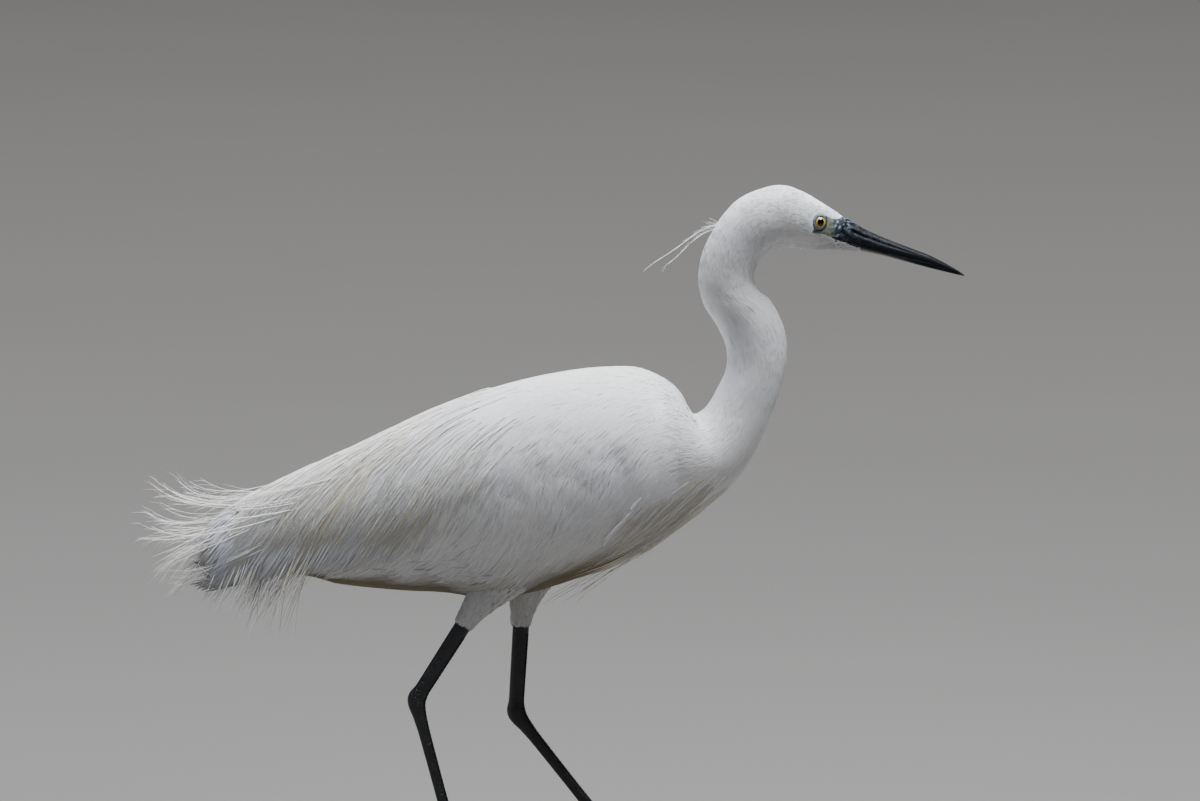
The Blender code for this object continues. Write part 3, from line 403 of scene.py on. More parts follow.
def squeeze(points):
    """Draws the skin's rear in to the low wedge of the tail's flesh."""
    base = section(at("rump", 0.15))[1]
    end_x, end_z = TAIL_CORE_END
    share = np.clip((points[..., 0] - end_x) / (TAIL_SQUEEZE_FRONT - end_x), 0, 1)
    middle = end_z + (base - end_z) * share
    deep, wide = TAIL_SQUEEZE_LEFT
    z = middle + (points[..., 2] - base) * (deep + (1 - deep) * share**1.4)
    return np.stack([points[..., 0], points[..., 1] * (wide + (1 - wide) * share), z], -1)


def unwrap(place, turn):
    """Where a place and an angle lie on the unwrapped skin."""
    around = np.asarray(turn, float) / 360 + 0.5
    along = SKIN_MAP[0] + SKIN_MAP[1] * np.asarray(place, float) / (len(SIZES) - 1)
    return np.stack([np.broadcast_to(around, along.shape), along], -1)


def solid(name, points, faces, material, maps=None, values=None, normals=None, slot="white_plumage"):
    """A mesh object from arrays, in millimetres, with its UV maps and point values by name."""
    mesh = bpy.data.meshes.new(name)
    mesh.vertices.add(len(points))
    mesh.vertices.foreach_set("co", ((points + SHIFT) * MM).astype(np.float32).ravel())
    mesh.loops.add(faces.size)
    mesh.loops.foreach_set("vertex_index", faces.astype(np.int32).ravel())
    mesh.polygons.add(len(faces))
    mesh.polygons.foreach_set("loop_start", np.arange(len(faces), dtype=np.int32) * faces.shape[1])
    mesh.update(calc_edges=True)
    for key, coordinates in (maps or {}).items():
        layer = mesh.uv_layers.new(name=key)
        layer.data.foreach_set("uv", coordinates[faces.ravel()].astype(np.float32).ravel())
    for key, numbers in (values or {}).items():
        layer = mesh.attributes.new(key, "FLOAT", "POINT")
        layer.data.foreach_set("value", np.asarray(numbers, np.float32))
    mesh.materials.append(material)
    mesh.shade_smooth()
    if normals is not None:
        mesh.normals_split_custom_set_from_vertices(normals.astype(np.float32))
    made = bpy.data.objects.new(name, mesh)
    bpy.context.scene.collection.objects.link(made)
    return made


def ringed(rings):
    """Points and triangles of a closed body through rings (r, m, 3), each seen clockwise from its front."""
    count, around = rings.shape[:2]
    points = rings.reshape(-1, 3)
    r, k = np.meshgrid(np.arange(count - 1), np.arange(around), indexing="ij")
    n = (k + 1) % around
    a, b, c, d = r * around + k, r * around + n, (r + 1) * around + n, (r + 1) * around + k
    sides = [np.stack([a, c, b], -1).reshape(-1, 3), np.stack([a, d, c], -1).reshape(-1, 3)]
    points = np.concatenate([points, rings[:1].mean(1), rings[-1:].mean(1)])
    k = np.arange(around)
    n = (k + 1) % around
    start, end = np.full(around, len(points) - 2), np.full(around, len(points) - 1)
    last = (count - 1) * around
    ends = [np.stack([start, k, n], -1), np.stack([end, last + n, last + k], -1)]
    return points, np.concatenate(sides + ends)


def gathered(bodies):
    """Several bodies of points and faces as one."""
    points, faces, count = [], [], 0
    for body, sides in bodies:
        points.append(body)
        faces.append(sides + count)
        count += len(body)
    return np.concatenate(points), np.concatenate(faces)


# A tuft's stations from root to tip, how much of its stand it has at each, and its width there
TUFT_STATIONS = np.array([0.0, 0.38, 0.72, 1.0])
TUFT_RISE = np.array([0.0, 0.85, 1.0, 0.72])  # its tip dips back between its neighbours
TUFT_TAPER = np.array([0.75, 1.0, 0.6])
# What a tuft and a vane look like cut across, in shares of half of the width and of the thickness
TUFT = np.array([(-1.0, -0.8), (1.0, -0.8), (0.0, 0.8)])
VANE = np.array([
    (-1.0, 0.0),
    (-0.5, -0.15),
    (0.0, -0.1),
    (0.5, -0.15),
    (1.0, 0.0),
    (0.45, 0.5),
    (0.0, 1.0),
    (-0.45, 0.5),
])


def blades(line, up, half, height, profile, roots, soft, tone, tint=0.0):
    """Arrays of closed tapering blades: points, triangles, maps, values and normals.

    line (n, k, 3) holds each blade's middle from root to tip, up (n, k, 3) its outward direction, half and
    height (n, k - 1) half of its width and its thickness. roots (n, 2) is where it grows on the unwrapped
    skin. soft turns its normals towards up. tone is its chance of being warm, tint how much painted shade it
    takes.
    """
    n, k = line.shape[:2]
    m = len(profile)
    along = unit(np.gradient(line, axis=1))
    across = unit(np.cross(along, up))
    rise = np.cross(across, along)
    rings = line[:, :-1, None] + across[:, :-1, None] * (half[..., None] * profile[:, 0])[..., None]
    rings = rings + rise[:, :-1, None] * (height[..., None] * profile[:, 1])[..., None]
    points = np.concatenate([rings.reshape(n, -1, 3), line[:, -1:]], 1)
    ring, j = np.meshgrid(np.arange(k - 2), np.arange(m), indexing="ij")
    nxt = (j + 1) % m
    a, b, c, d = ring * m + j, ring * m + nxt, (ring + 1) * m + nxt, (ring + 1) * m + j
    sides = [np.stack([a, c, b], -1).reshape(-1, 3), np.stack([a, d, c], -1).reshape(-1, 3)]
    j = np.arange(m)
    last = (k - 2) * m
    tip = np.stack([last + (j + 1) % m, last + j, np.full(m, (k - 1) * m)], -1)
    cap = np.array([(0, i, i + 1) for i in range(1, m - 1)])
    one = np.concatenate([cap, *sides, tip])
    size = points.shape[1]
    faces = (one[None] + (np.arange(n) * size)[:, None, None]).reshape(-1, 3)
    steps = np.linalg.norm(np.diff(line, axis=1), axis=-1)
    distance = np.concatenate([np.zeros((n, 1)), np.cumsum(steps, 1)], 1)
    side = np.broadcast_to(profile[:, 0], (n, k - 1, m))
    side = np.concatenate([(side * half[..., None]).reshape(n, -1), np.zeros((n, 1))], 1)
    there = np.concatenate([np.repeat(distance[:, :-1], m, 1), distance[:, -1:]], 1)
    share = there / distance[:, -1:]
    patch = np.stack([side / np.maximum(np.abs(side).max(1, keepdims=True), 1e-6) * 0.5, share], -1)
    apart = 7.3 * np.arange(n)[:, None] % 97  # so that no two neighbours show the same barbs
    maps = {
        "OFBake": (roots[:, None] + ROOT_PATCH * patch).reshape(-1, 2),
        "barb": np.stack([side + apart, there], -1).reshape(-1, 2),
    }
    values = {"tone": np.repeat(tone, size), "tint": np.repeat(np.broadcast_to(tint, n), size)}
    ups = np.concatenate([np.repeat(rise[:, :-1], m, 1), rise[:, -1:]], 1)
    way = rings - line[:, :-1, None]
    way = np.concatenate([way.reshape(n, -1, 3), rise[:, -1:] * 0.001], 1)
    normals = unit(unit(way) * (1 - soft) + ups * soft)
    return points.reshape(-1, 3), faces, maps, values, normals.reshape(-1, 3)


def joined(groups):
    """Several blades() results as one."""
    points, faces = gathered([group[:2] for group in groups])
    maps, values = ({key: np.concatenate([group[i][key] for group in groups]) for key in groups[0][i]}
                    for i in (2, 3))
    return points, faces, maps, values, np.concatenate([group[4] for group in groups])


def scatter(low, high, first, last, spacing, chance):
    """Even random places and angles on the skin, one for each spacing (or spacing(place)) mm2."""
    rows, columns = 260, 140  # the cells of the grid that it measures the skin on
    place = low + (high - low) * (np.arange(rows) + 0.5) / rows
    turn = first + (last - first) * (np.arange(columns) + 0.5) / columns
    place, turn = np.meshgrid(place, turn, indexing="ij")
    forward, around = slopes(place, turn)
    cell = np.linalg.norm(np.cross(forward, around), axis=-1) * (high - low) / rows
    cell = cell * (last - first) / columns
    each = spacing(place) if callable(spacing) else spacing
    total = np.cumsum((cell / each).ravel())
    count = int(total[-1])
    picks = np.searchsorted(total, np.arange(count) + chance.random(count))
    i, j = np.divmod(np.minimum(picks, rows * columns - 1), columns)
    places = low + (high - low) * (i + chance.random(count)) / rows
    turns = first + (last - first) * (j + chance.random(count)) / columns
    return places, turns


NEVER_FREE, NEVER_LAST = 999.0, -9.0  # an angle and a place that no feather passes


def comb(place, turn, length, stations, swing, lifts, bend=0.0, free=NEVER_FREE, last=NEVER_LAST, curl=0.0):
    """Lines that follow the lie of the coat from places and angles, and their outward directions.

    lifts (n, k) are heights over the settled coat. swing and bend (radians) turn a line at its root and along
    its way. Past the angle free, or behind the place last, it leaves the skin and runs straight on, bent by
    curl (n, 3) for each millimetre.
    """
    side = np.where(turn < 0, -1.0, 1.0)
    line, ups = [skin(place, turn, lifts[:, 0] + settle(place, turn))], [outward(place, turn)]
    loose = np.zeros(len(place), bool)
    way = None
    for i in range(1, len(stations)):
        step = length * (stations[i] - stations[i - 1])
        forward, around = slopes(place, turn)
        angle = lie(place, turn) + swing + bend * stations[i]
        next_place = place - np.cos(angle) * step / np.linalg.norm(forward, axis=-1)
        next_turn = turn + side * np.sin(angle) * step / np.linalg.norm(around, axis=-1)
        on_skin = skin(next_place, next_turn, lifts[:, i] + settle(next_place, next_turn))
        if way is not None:
            loose = loose | (np.abs(next_turn) > free) | (next_place < last)
            bent = unit(way + curl * step[:, None])
            on_skin = np.where(loose[:, None], line[-1] + bent * step[:, None], on_skin)
        up = outward(next_place, next_turn)
        ups.append(np.where(loose[:, None], ups[-1], up))
        place, turn = np.where(loose, place, next_place), np.where(loose, turn, next_turn)
        way = unit(on_skin - line[-1])
        line.append(on_skin)
    return np.stack(line, 1), np.stack(ups, 1)


def eye_place(side):
    """The middle of an eye's ball, and the way it looks."""
    look = unit(outward(EYE_AT, side * EYE_TURN) + np.array([EYE_FORWARD, 0, 0]))
    return skin(EYE_AT, side * EYE_TURN, -EYE_DEPTH), look


def eye_axes(look):
    """Across and up in the plane of the lids, the top tilted towards the bill."""
    across = unit(np.cross((0, 0, 1), look))
    across = across * (1 if across[0] > 0 else -1)
    up = unit(np.array([0, 0, 1.0]) - look * look[2])
    tilt = math.radians(LID_TILT)
    return across * math.cos(tilt) - up * math.sin(tilt), up * math.cos(tilt) + across * math.sin(tilt)


def from_eyes(points, forward, higher, wide, tall):
    """How far points lie from the nearer eye, where the edge of an oval round it is 1."""
    found = np.full(points.shape[:-1], FAR_OFF)
    for side in (-1, 1):
        middle, look = eye_place(side)
        across, up = eye_axes(look)
        rel = points - middle - across * forward - up * higher
        far = np.hypot(rel @ across / wide, rel @ up / tall)
        found = np.minimum(found, np.where(rel @ look > BEHIND_LIDS, far, FAR_OFF))
    return found


# The bare skin from the eye to the bill: x, lower edge and upper edge as z
LORE = np.array([
    (164.0, 396.0, 396.2),
    (171.5, 394.7, 407.0),
    (176.0, 393.4, 404.9),
    (180.0, 389.6, 404.2),
    (184.0, 386.4, 405.2),
    (188.0, 385.0, 406.5),
])


def bare_share(points):
    """1 on the bare skin of the lore, 0 on feathered skin."""
    x, z = points[..., 0], points[..., 2]
    low, high = (np.interp(x, LORE[:, 0], LORE[:, c]) for c in (1, 2))
    return smooth(np.minimum(np.minimum(z - low, high - z), x - LORE[0][0]), -0.4, 0.5)


def painted_shade_and_stains(place, turn):
    """How much painted shade the feathers take: belly, vent, undertail and lower wing, and two stains on the
    throat.
    """
    # Painted shade: belly, vent, undertail and the wing's lower edge turn warm brown as if in shade and lit
    # from below by warm light
    low = 0.8 * smooth(np.abs(turn), 126, 152) + 0.2 * smooth(np.abs(turn), 98, 134)
    body = smooth(place, at("plume end"), at("tail root")) * (1 - smooth(place, at("shoulder"), at("crop")))
    throat = smooth(np.abs(turn), 150, 178)
    rust = 0.4 * np.exp(-(((place - at("neck bulge")) / 0.8) ** 2))
    rust = rust + 0.3 * np.exp(-(((place - at("nape")) / 0.6) ** 2))
    return low * body + rust * throat


def pick(area, spacing, chance):
    """Even random places and angles in an area, on both sides where its first angle is 0 or more."""
    low, high, first, last = area
    spans = [(first, last), (-last, -first)] if first >= 0 else [(first, last)]
    picked = [scatter(low, high, a, b, spacing, chance) for a, b in spans]
    return np.concatenate([p for p, _ in picked]), np.concatenate([t for _, t in picked])


def save(name, made, material, replaced=(), slot="white_plumage"):
    """A finished piece from the arrays of blades(), in the place of the solids that it replaces."""
    points, faces, maps, values, normals = made
    piece = solid(name, points, faces, material, maps, values, normals, slot)
    if replaced:
        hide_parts(*replaced)
    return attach(piece, "root")


# Sizes in millimetres of the coat's clumps, its finer partings, its hollows and its ruffles
CLUMP_SIZE, PARTING_SIZE, HOLLOW_SIZE, RUFFLE_SIZE = 26.0, 6.0, 15.0, 5.0
TUFT_THICKNESS = 0.36  # a share of half of its width
TUFT_SOFTNESS = 0.8  # how far its shading leans to the coat's own outward direction
ROOT_SINK = 0.15  # how far a tuft's root reaches under the skin


def tufts(name, area, material, chance, density, keep=None, rise=0.0, longer=1.0, wedge=True,
          free=NEVER_FREE, puff=0.1, sway=1.0, last=at("tail end", -0.4), sky=0.0, replaced=()):
    """One piece of the coat in an area, where keep says so.

    longer is a factor or a function of place. wedge draws its rear in to the tail's flesh. puff is how deep
    its hollows are and sway how wavy it lies. sky turns its shading to the light from above.
    """
    place, turn = pick(area, lambda p: coat(p, 3) / density, chance)
    root = squeeze(skin(place, turn)) if wedge else skin(place, turn)
    good = (from_eyes(root, *LID_RING) > 1.0) & (bare_share(root) < 0.35) & ~folded(place, turn)
    if keep is not None:
        good &= keep(place, turn)
    place, turn, root = place[good], turn[good], root[good]
    count = len(place)
    clump, parting = waves(root, CLUMP_SIZE, 11), waves(root, PARTING_SIZE, 12)
    longer = longer(place) if callable(longer) else longer
    length = coat(place, 1) * longer * chance.uniform(0.75, 1.2, count) * (1 + 0.12 * clump)
    swing = np.radians(sway * (7 * clump + 4 * parting + chance.normal(0, 3.0, count)))
    depth, stand = coat(place, 4) + ROOT_SINK, coat(place, 5)
    tip = stand + rise + chance.normal(0, 0.3, count) * stand + 0.4 * stand * clump
    tip = tip + puff * (waves(root, HOLLOW_SIZE, 13) + 0.6 * waves(root, RUFFLE_SIZE, 14))
    lifts = -depth[:, None] + (depth + tip)[:, None] * TUFT_RISE
    line, up = comb(place, turn, length, TUFT_STATIONS, swing, lifts, 0.0, free, last)
    line = squeeze(line) if wedge else line
    half = (coat(place, 2) * chance.uniform(0.9, 1.35, count))[:, None] * TUFT_TAPER
    # The tufts' tint is the painted shade of the underside, and the throat's stains
    made = blades(line, unit(up + sky * SKY), half, half * TUFT_THICKNESS, TUFT, unwrap(place, turn),
                  TUFT_SOFTNESS, chance.random(count), painted_shade_and_stains(place, turn))
    return save(name, made, material, replaced)


def wing_level(place, turn):
    """How high the folded wing's feathers lie on the skin."""
    return settle(place, turn) - 0.95 - 0.4 * cloaked(place, turn) - 2.0 * flank(place, turn)


def wing_spot(along, down, side):
    """Place and angle on the skin at shares along and down a wing."""
    place = WING_BEND + (WING_TIP - WING_BEND) * along
    high, low = wing_edge(place, 1), wing_edge(place, 2)
    return place, side * (high + (low - high) * down)


# A vane's stations from root to tip, and its width and thickness at each but the last, which is its point
VANE_STATIONS = np.array([0, 0.12, 0.25, 0.38, 0.5, 0.62, 0.74, 0.84, 0.92, 0.97, 1.0])
VANE_SHAPE = np.array([0.45, 0.68, 0.86, 0.96, 1.0, 1.0, 0.95, 0.84, 0.64, 0.4])
VANE_THICKNESS = np.array([1.0] * 6 + [0.85, 0.7, 0.5, 0.35]) * 0.6


def wing_vanes(side, chance):
    """The flight feathers and large coverts of one folded wing."""
    groups = []
    for _, count, topmost, lowest, width, root_height, tip_height in WING_ROWS:
        share = np.linspace(0, 1, count)[:, None]
        root, down, tip, tip_down = (np.array(topmost) * (1 - share) + np.array(lowest) * share).T
        tip = tip + chance.uniform(-0.006, 0.006, count)
        t = VANE_STATIONS
        along = root[:, None] + (tip - root)[:, None] * t
        across = down[:, None] + (tip_down - down)[:, None] * t
        place, turn = wing_spot(along, across, side)
        lifts = wing_level(place, turn) + root_height + (tip_height - root_height) * t
        lifts = lifts + 0.12 * (np.arange(count) % 3)[:, None] * t
        half = width / 2 * chance.uniform(0.92, 1.0, count)[:, None] * VANE_SHAPE
        height = np.broadcast_to(VANE_THICKNESS, half.shape)
        # The lower vanes take the painted shade of the underside, at six tenths of its strength
        groups.append(blades(skin(place, turn, lifts), outward(place, turn), half, height, VANE,
                             unwrap(place[:, 0], turn[:, 0]), 0.6, chance.random(count),
                             painted_shade_and_stains(place[:, 0], turn[:, 5]) * 0.6))
    return joined(groups)


BREAST_LEVELS = np.array([0.5, 1.1, 1.8])  # the heights that breast plumes lie at, one over another


def plume_paths(count, side, chance, t):
    """Place, angle and lift at shares t along each of the long breast plumes of one side."""
    share = (np.arange(count) + chance.uniform(-0.35, 0.35, count)).clip(0, count - 1) / (count - 1)
    rows = np.arange(len(BREAST_FAN))
    root, root_turn, tip, tip_turn, tip_lift = (
        np.interp(share * rows[-1], rows, column)[:, None] for column in BREAST_FAN.T)
    tip = tip + chance.uniform(-0.22, 0.12, count)[:, None]
    tip_lift = tip_lift + 0.2 + chance.uniform(-1.8, 1.8, count)[:, None]
    level = BREAST_LEVELS[np.arange(count) % len(BREAST_LEVELS)] + chance.uniform(-0.3, 0.3, count)
    level = level[:, None]
    places = root + (tip - root) * t
    turns = side * (root_turn + (tip_turn - root_turn) * t**1.2)
    lifts = level - 2.6 * np.maximum(1 - t / 0.14, 0)
    lifts = lifts + (tip_lift - level) * np.maximum((t - 0.5) / 0.5, 0) ** 2
    return places, turns, lifts


STRAND_THICKNESS = 0.8  # a share of half of its width
STRAND_SOFTNESS = 0.6


def threads(line, ups, width, chance, roots, tint=0.0, taper=0.35, sky=0.0):
    """Thin blades through points (n, k, 3): shafts, barbs or strands; sky turns their shading upwards."""
    count, k = line.shape[:2]
    half = width / 2 * np.linspace(1.0, taper, k - 1)[None] * chance.uniform(0.75, 1.25, (count, 1))
    return blades(line, unit(ups + sky * SKY), half, half * STRAND_THICKNESS, TUFT, roots, STRAND_SOFTNESS,
                  chance.random(count), tint)


# Materials


def hex_colour(text):
    """An sRGB hex colour as linear red, green, blue and alpha."""
    parts = [int(text[i : i + 2], 16) / 255 for i in (1, 3, 5)]
    linear = [c / 12.92 if c <= 0.04045 else ((c + 0.055) / 1.055) ** 2.4 for c in parts]
    return (*linear, 1.0)


def add(tree, kind, inputs=None, out=0, ramp=None, **options):
    """Adds one node, a shader node where kind has no prefix, and returns one of its outputs.

    inputs gives a socket its number, its colour or another node's output. options are the node's own
    settings, and ramp holds a colour ramp's stops.
    """
    node = tree.nodes.new(kind if "Node" in kind else "ShaderNode" + kind)
    for key, value in options.items():
        setattr(node, key, value)
    for key, value in (inputs or {}).items():
        if isinstance(value, bpy.types.NodeSocket):
            tree.links.new(value, node.inputs[key])
        else:
            node.inputs[key].default_value = value
    if ramp:
        stops = node.color_ramp.elements
        while len(stops) > 1:
            stops.remove(stops[-1])
        stops[0].position, stops[0].color = ramp[0]
        for position, colour in ramp[1:]:
            stops.new(position).color = colour
    return node.outputs[out]


def grey(share):
    """A ramp's grey of this share of white."""
    return (share, share, share, 1)


def new_material(name, roughness, ior=1.5, **flat):
    """A Principled material, its tree and its shader; flat numbers go on the shader's own sockets."""
    material = bpy.data.materials.new(name)
    material.use_nodes = True
    tree = material.node_tree
    shader = tree.nodes["Principled BSDF"]
    shader.inputs["Roughness"].default_value = roughness
    shader.inputs["IOR"].default_value = ior
    for key, value in flat.items():
        shader.inputs[key.replace("_", " ")].default_value = value
    return material, tree, shader


# Real sizes of the patterns in millimetres; a texture's scale is PER_METRE over its size. A Mix node's
# sockets for colours are 0 for the share, 6 and 7 for the two colours, and 2 for the mixed one.
PER_METRE = 1000.0
CLOUD_SIZE = 45.4545  # cooler and warmer patches of plumage
SPECK_SIZE = 2.38095  # grains of feather powder, drawn about four times as coarse as life so that they show
FIBRE_SIZE = 0.714286  # fibres of bill horn, coarser than life for the same reason
LID_SPECK_SIZE, LID_FOLD_SIZE = 2.0, 0.666667  # paler specks and fine folds of the lids
LEG_PATCH_SIZE = 6.25  # greyer and blacker patches of leg skin
FLOOR_PATCH_SIZE = 333.333  # thinner and thicker paint


def plumage(name, colours, streak, slant, bump, roughness=0.72, shaft=0.0, cool=0.45):
    """White feather keratin: dull and soft, a little warm or cool from tuft to tuft, with fine barbs.

    streak is the barbs' spacing in millimetres, slant how far they lean out from the shaft, bump their depth.
    Real barbs lie about 0.05 mm apart, and are drawn as coarse as they need to be to show.
    """
    material, tree, shader = new_material(name, roughness, 1.45, Sheen_Weight=0.18, Sheen_Roughness=0.5)
    white = feather_colour(tree, colours, shaft, cool)
    feather_bump(tree, shader, streak, slant, bump)
    tree.links.new(white, shader.inputs["Base Color"])
    return material


def feather_colour(tree, colours, shaft=0.0, most_cool=0.45):
    """White that turns a little cream, cool, stained or darker with painted shade; shaft is the share of
    cream on the palest shafts.
    """
    tone = add(tree, "Attribute", out="Fac", attribute_name="tone")
    tint = add(tree, "Attribute", out="Fac", attribute_name="tint")
    place = add(tree, "TexCoord", out="Object")
    cloud = add(tree, "TexNoise", {"Vector": place, "Scale": PER_METRE / CLOUD_SIZE, "Detail": 3.0})
    white = add(tree, "Mix", {0: tone, 6: colours.white, 7: colours.cream}, 2, data_type="RGBA")
    cool = add(tree, "MapRange", {"Value": cloud, "From Min": 0.42, "From Max": 0.68,
                                  "To Min": most_cool * 0.4, "To Max": most_cool})
    white = add(tree, "Mix", {0: cool, 6: white, 7: colours.cool}, 2, data_type="RGBA")
    # Painted shade: the point value tint mixes towards the warm brown of the underside's shade, and of the
    # throat's stains
    white = add(tree, "Mix", {0: tint, 6: white, 7: colours.shade}, 2, data_type="RGBA")
    if shaft:
        near = add(tree, "MapRange", {"Value": tone, "From Min": 0.12, "From Max": 0.3,
                                      "To Min": shaft, "To Max": 0.0})
        white = add(tree, "Mix", {0: near, 6: white, 7: colours.shaft}, 2, data_type="RGBA")
    return white


def feather_bump(tree, shader, streak, slant, bump):
    """Fine barbs as relief, along the feather's own ruled map, which counts millimetres."""
    barb = add(tree, "UVMap", uv_map="barb")
    split = add(tree, "SeparateXYZ", {"Vector": barb}).node.outputs
    lean = add(tree, "Math", {0: split["Y"], 1: slant}, operation="MULTIPLY")
    across = add(tree, "Math", {0: split["X"], 1: 1.0 / streak}, operation="MULTIPLY")
    strand = add(tree, "CombineXYZ", {"X": across, "Y": lean})
    lines = add(tree, "TexNoise", {"Vector": strand, "Scale": 1.0, "Detail": 2.0})
    deep = add(tree, "Bump", {"Height": lines, "Strength": bump, "Distance": 0.0003})
    tree.links.new(deep, shader.inputs["Normal"])


def skin_material(colours):
    """The hide: white down between the feathers, and the bare grey-green lore in front of the eye.

    Lore is thin scurfy skin, dull and speckled, black by the bill with grains of blue-grey feather powder.
    """
    material, tree, shader = new_material("white down and bare lore", 0.7, 1.42, Sheen_Weight=0.1)
    bare = add(tree, "Attribute", out="Fac", attribute_name="bare")
    mouth = add(tree, "Attribute", out="Fac", attribute_name="mouth")
    front = add(tree, "Attribute", out="Fac", attribute_name="front")
    place = add(tree, "TexCoord", out="Object")
    spots = add(tree, "TexNoise", {"Vector": place, "Scale": PER_METRE / SPECK_SIZE, "Detail": 4.0})
    specks = add(tree, "MapRange", {"Value": spots, "From Min": 0.35, "From Max": 0.65})
    green, pale, black, slate, powder, gape = (hex_colour(text) for text in (
        "#565F50", "#959C8A", "#14181D", "#3A444E", "#8FA3BC", "#101316"))
    lore = add(tree, "Mix", {0: specks, 6: green, 7: pale}, 2, data_type="RGBA")
    dark = add(tree, "Mix", {0: specks, 6: black, 7: slate}, 2, data_type="RGBA")
    lore = add(tree, "Mix", {0: front, 6: lore, 7: dark}, 2, data_type="RGBA")
    grains = add(tree, "MapRange", {"Value": spots, "From Min": 0.52, "From Max": 0.60,
                                    "To Max": 0.8})
    grains = add(tree, "Math", {0: grains, 1: front}, operation="MULTIPLY")
    lore = add(tree, "Mix", {0: grains, 6: lore, 7: powder}, 2, data_type="RGBA")
    down = feather_colour(tree, colours)
    colour = add(tree, "Mix", {0: bare, 6: down, 7: lore}, 2, data_type="RGBA")
    colour = add(tree, "Mix", {0: mouth, 6: colour, 7: gape}, 2, data_type="RGBA")
    tree.links.new(colour, shader.inputs["Base Color"])
    feather_bump(tree, shader, 0.5, 0.1, 0.4)
    return material


def horn_material(name, colours, lower):
    """Bill horn: black keratin grown in long fibres, satin, with grey-blue feather powder near its root."""
    material, tree, shader = new_material(name, 0.46, 1.45, Specular_IOR_Level=0.15)
    share = add(tree, "Attribute", out="Fac", attribute_name="share")
    height = add(tree, "Attribute", out="Fac", attribute_name="height")
    place = add(tree, "TexCoord", out="Object")
    long = add(tree, "Mapping", {"Vector": place, "Rotation": (0, math.radians(-16), 0),
                                 "Scale": (0.12, 1, 1)})
    fibre = add(tree, "TexNoise", {"Vector": long, "Scale": PER_METRE / FIBRE_SIZE, "Detail": 4.0})
    patch = add(tree, "TexNoise", {"Vector": place, "Scale": PER_METRE / SPECK_SIZE, "Detail": 5.0,
                                   "Roughness": 0.7})
    worn, powdered, pale = hex_colour("#171A20"), hex_colour("#93A3B6"), hex_colour("#8E8684")
    colour = add(tree, "Mix", {0: fibre, 6: colours.horn, 7: worn}, 2, data_type="RGBA")
    near = add(tree, "ValToRGB", {"Fac": share}, ramp=[
        (0.0, grey(0.85)), (0.05, grey(0.6)), (0.09, grey(0.18)), (0.4, grey(0.06)), (0.6, grey(0))])
    dust = add(tree, "MapRange", {"Value": patch, "From Min": 0.47, "From Max": 0.62})
    top = add(tree, "MapRange", {"Value": height, "From Min": 0.25, "From Max": 0.8, "To Min": 0.25})
    powder = add(tree, "Math", {0: near, 1: dust}, operation="MULTIPLY")
    powder = add(tree, "Math", {0: powder, 1: top}, operation="MULTIPLY")
    colour = add(tree, "Mix", {0: powder, 6: colour, 7: powdered}, 2, data_type="RGBA")
    if lower:
        rear = add(tree, "MapRange", {"Value": share, "From Min": 0.30, "From Max": 0.62,
                                      "To Min": 1.0, "To Max": 0.0})
        under = add(tree, "MapRange", {"Value": height, "From Min": 0.15, "From Max": 0.6})
        both = add(tree, "Math", {0: rear, 1: under}, operation="MULTIPLY")
        colour = add(tree, "Mix", {0: both, 6: colour, 7: pale}, 2, data_type="RGBA")
    tree.links.new(colour, shader.inputs["Base Color"])
    dull = add(tree, "MapRange", {"Value": powder, "To Min": 0.42, "To Max": 0.8})
    tree.links.new(dull, shader.inputs["Roughness"])
    deep = add(tree, "Bump", {"Height": fibre, "Strength": 0.35, "Distance": 0.0003})
    tree.links.new(deep, shader.inputs["Normal"])
    return material


def eye_material(name, colours):
    """A live eye: black pupil, pale yellow iris with fine spokes and a dark rim, under a wet clear cornea."""
    material, tree, shader = new_material(name, 0.08, 1.38, Coat_Weight=1.0, Coat_Roughness=0.02)
    ring = add(tree, "Attribute", out="Fac", attribute_name="ring")
    spoke = add(tree, "Attribute", out="Fac", attribute_name="spoke")
    around = add(tree, "CombineXYZ", {"X": spoke, "Y": ring})
    fibres = add(tree, "TexNoise", {"Vector": around, "Scale": 14.0, "Detail": 3.0})
    dull, black, rim = hex_colour("#A8912A"), hex_colour("#020202"), hex_colour("#1A1508")
    yellow = add(tree, "Mix", {0: fibres, 6: colours.iris, 7: dull}, 2, data_type="RGBA")
    inner = add(tree, "ValToRGB", {"Fac": ring},
                ramp=[(0.0, grey(0)), (PUPIL, grey(0)), (PUPIL + 0.025, grey(1))])
    outer = add(tree, "ValToRGB", {"Fac": ring},
                ramp=[(0.0, grey(0)), (IRIS, grey(0)), (IRIS + 0.05, grey(1))])
    colour = add(tree, "Mix", {0: inner, 6: black, 7: yellow}, 2, data_type="RGBA")
    colour = add(tree, "Mix", {0: outer, 6: colour, 7: rim}, 2, data_type="RGBA")
    tree.links.new(colour, shader.inputs["Base Color"])
    return material


def lid_material(name):
    """Bare wrinkled lid skin, dull slate with a blue bloom of feather powder."""
    material, tree, shader = new_material(name, 0.5, 1.42)
    place = add(tree, "TexCoord", out="Object")
    spots = add(tree, "TexNoise", {"Vector": place, "Scale": PER_METRE / LID_SPECK_SIZE,
                                   "Detail": 4.0})
    folds = add(tree, "TexVoronoi", {"Vector": place, "Scale": PER_METRE / LID_FOLD_SIZE})
    slate, bloom = hex_colour("#39434E"), hex_colour("#7C8C9C")
    colour = add(tree, "Mix", {0: spots, 6: slate, 7: bloom}, 2, data_type="RGBA")
    tree.links.new(colour, shader.inputs["Base Color"])
    deep = add(tree, "Bump", {"Height": folds, "Strength": 0.5, "Distance": 0.0002})
    tree.links.new(deep, shader.inputs["Normal"])
    return material


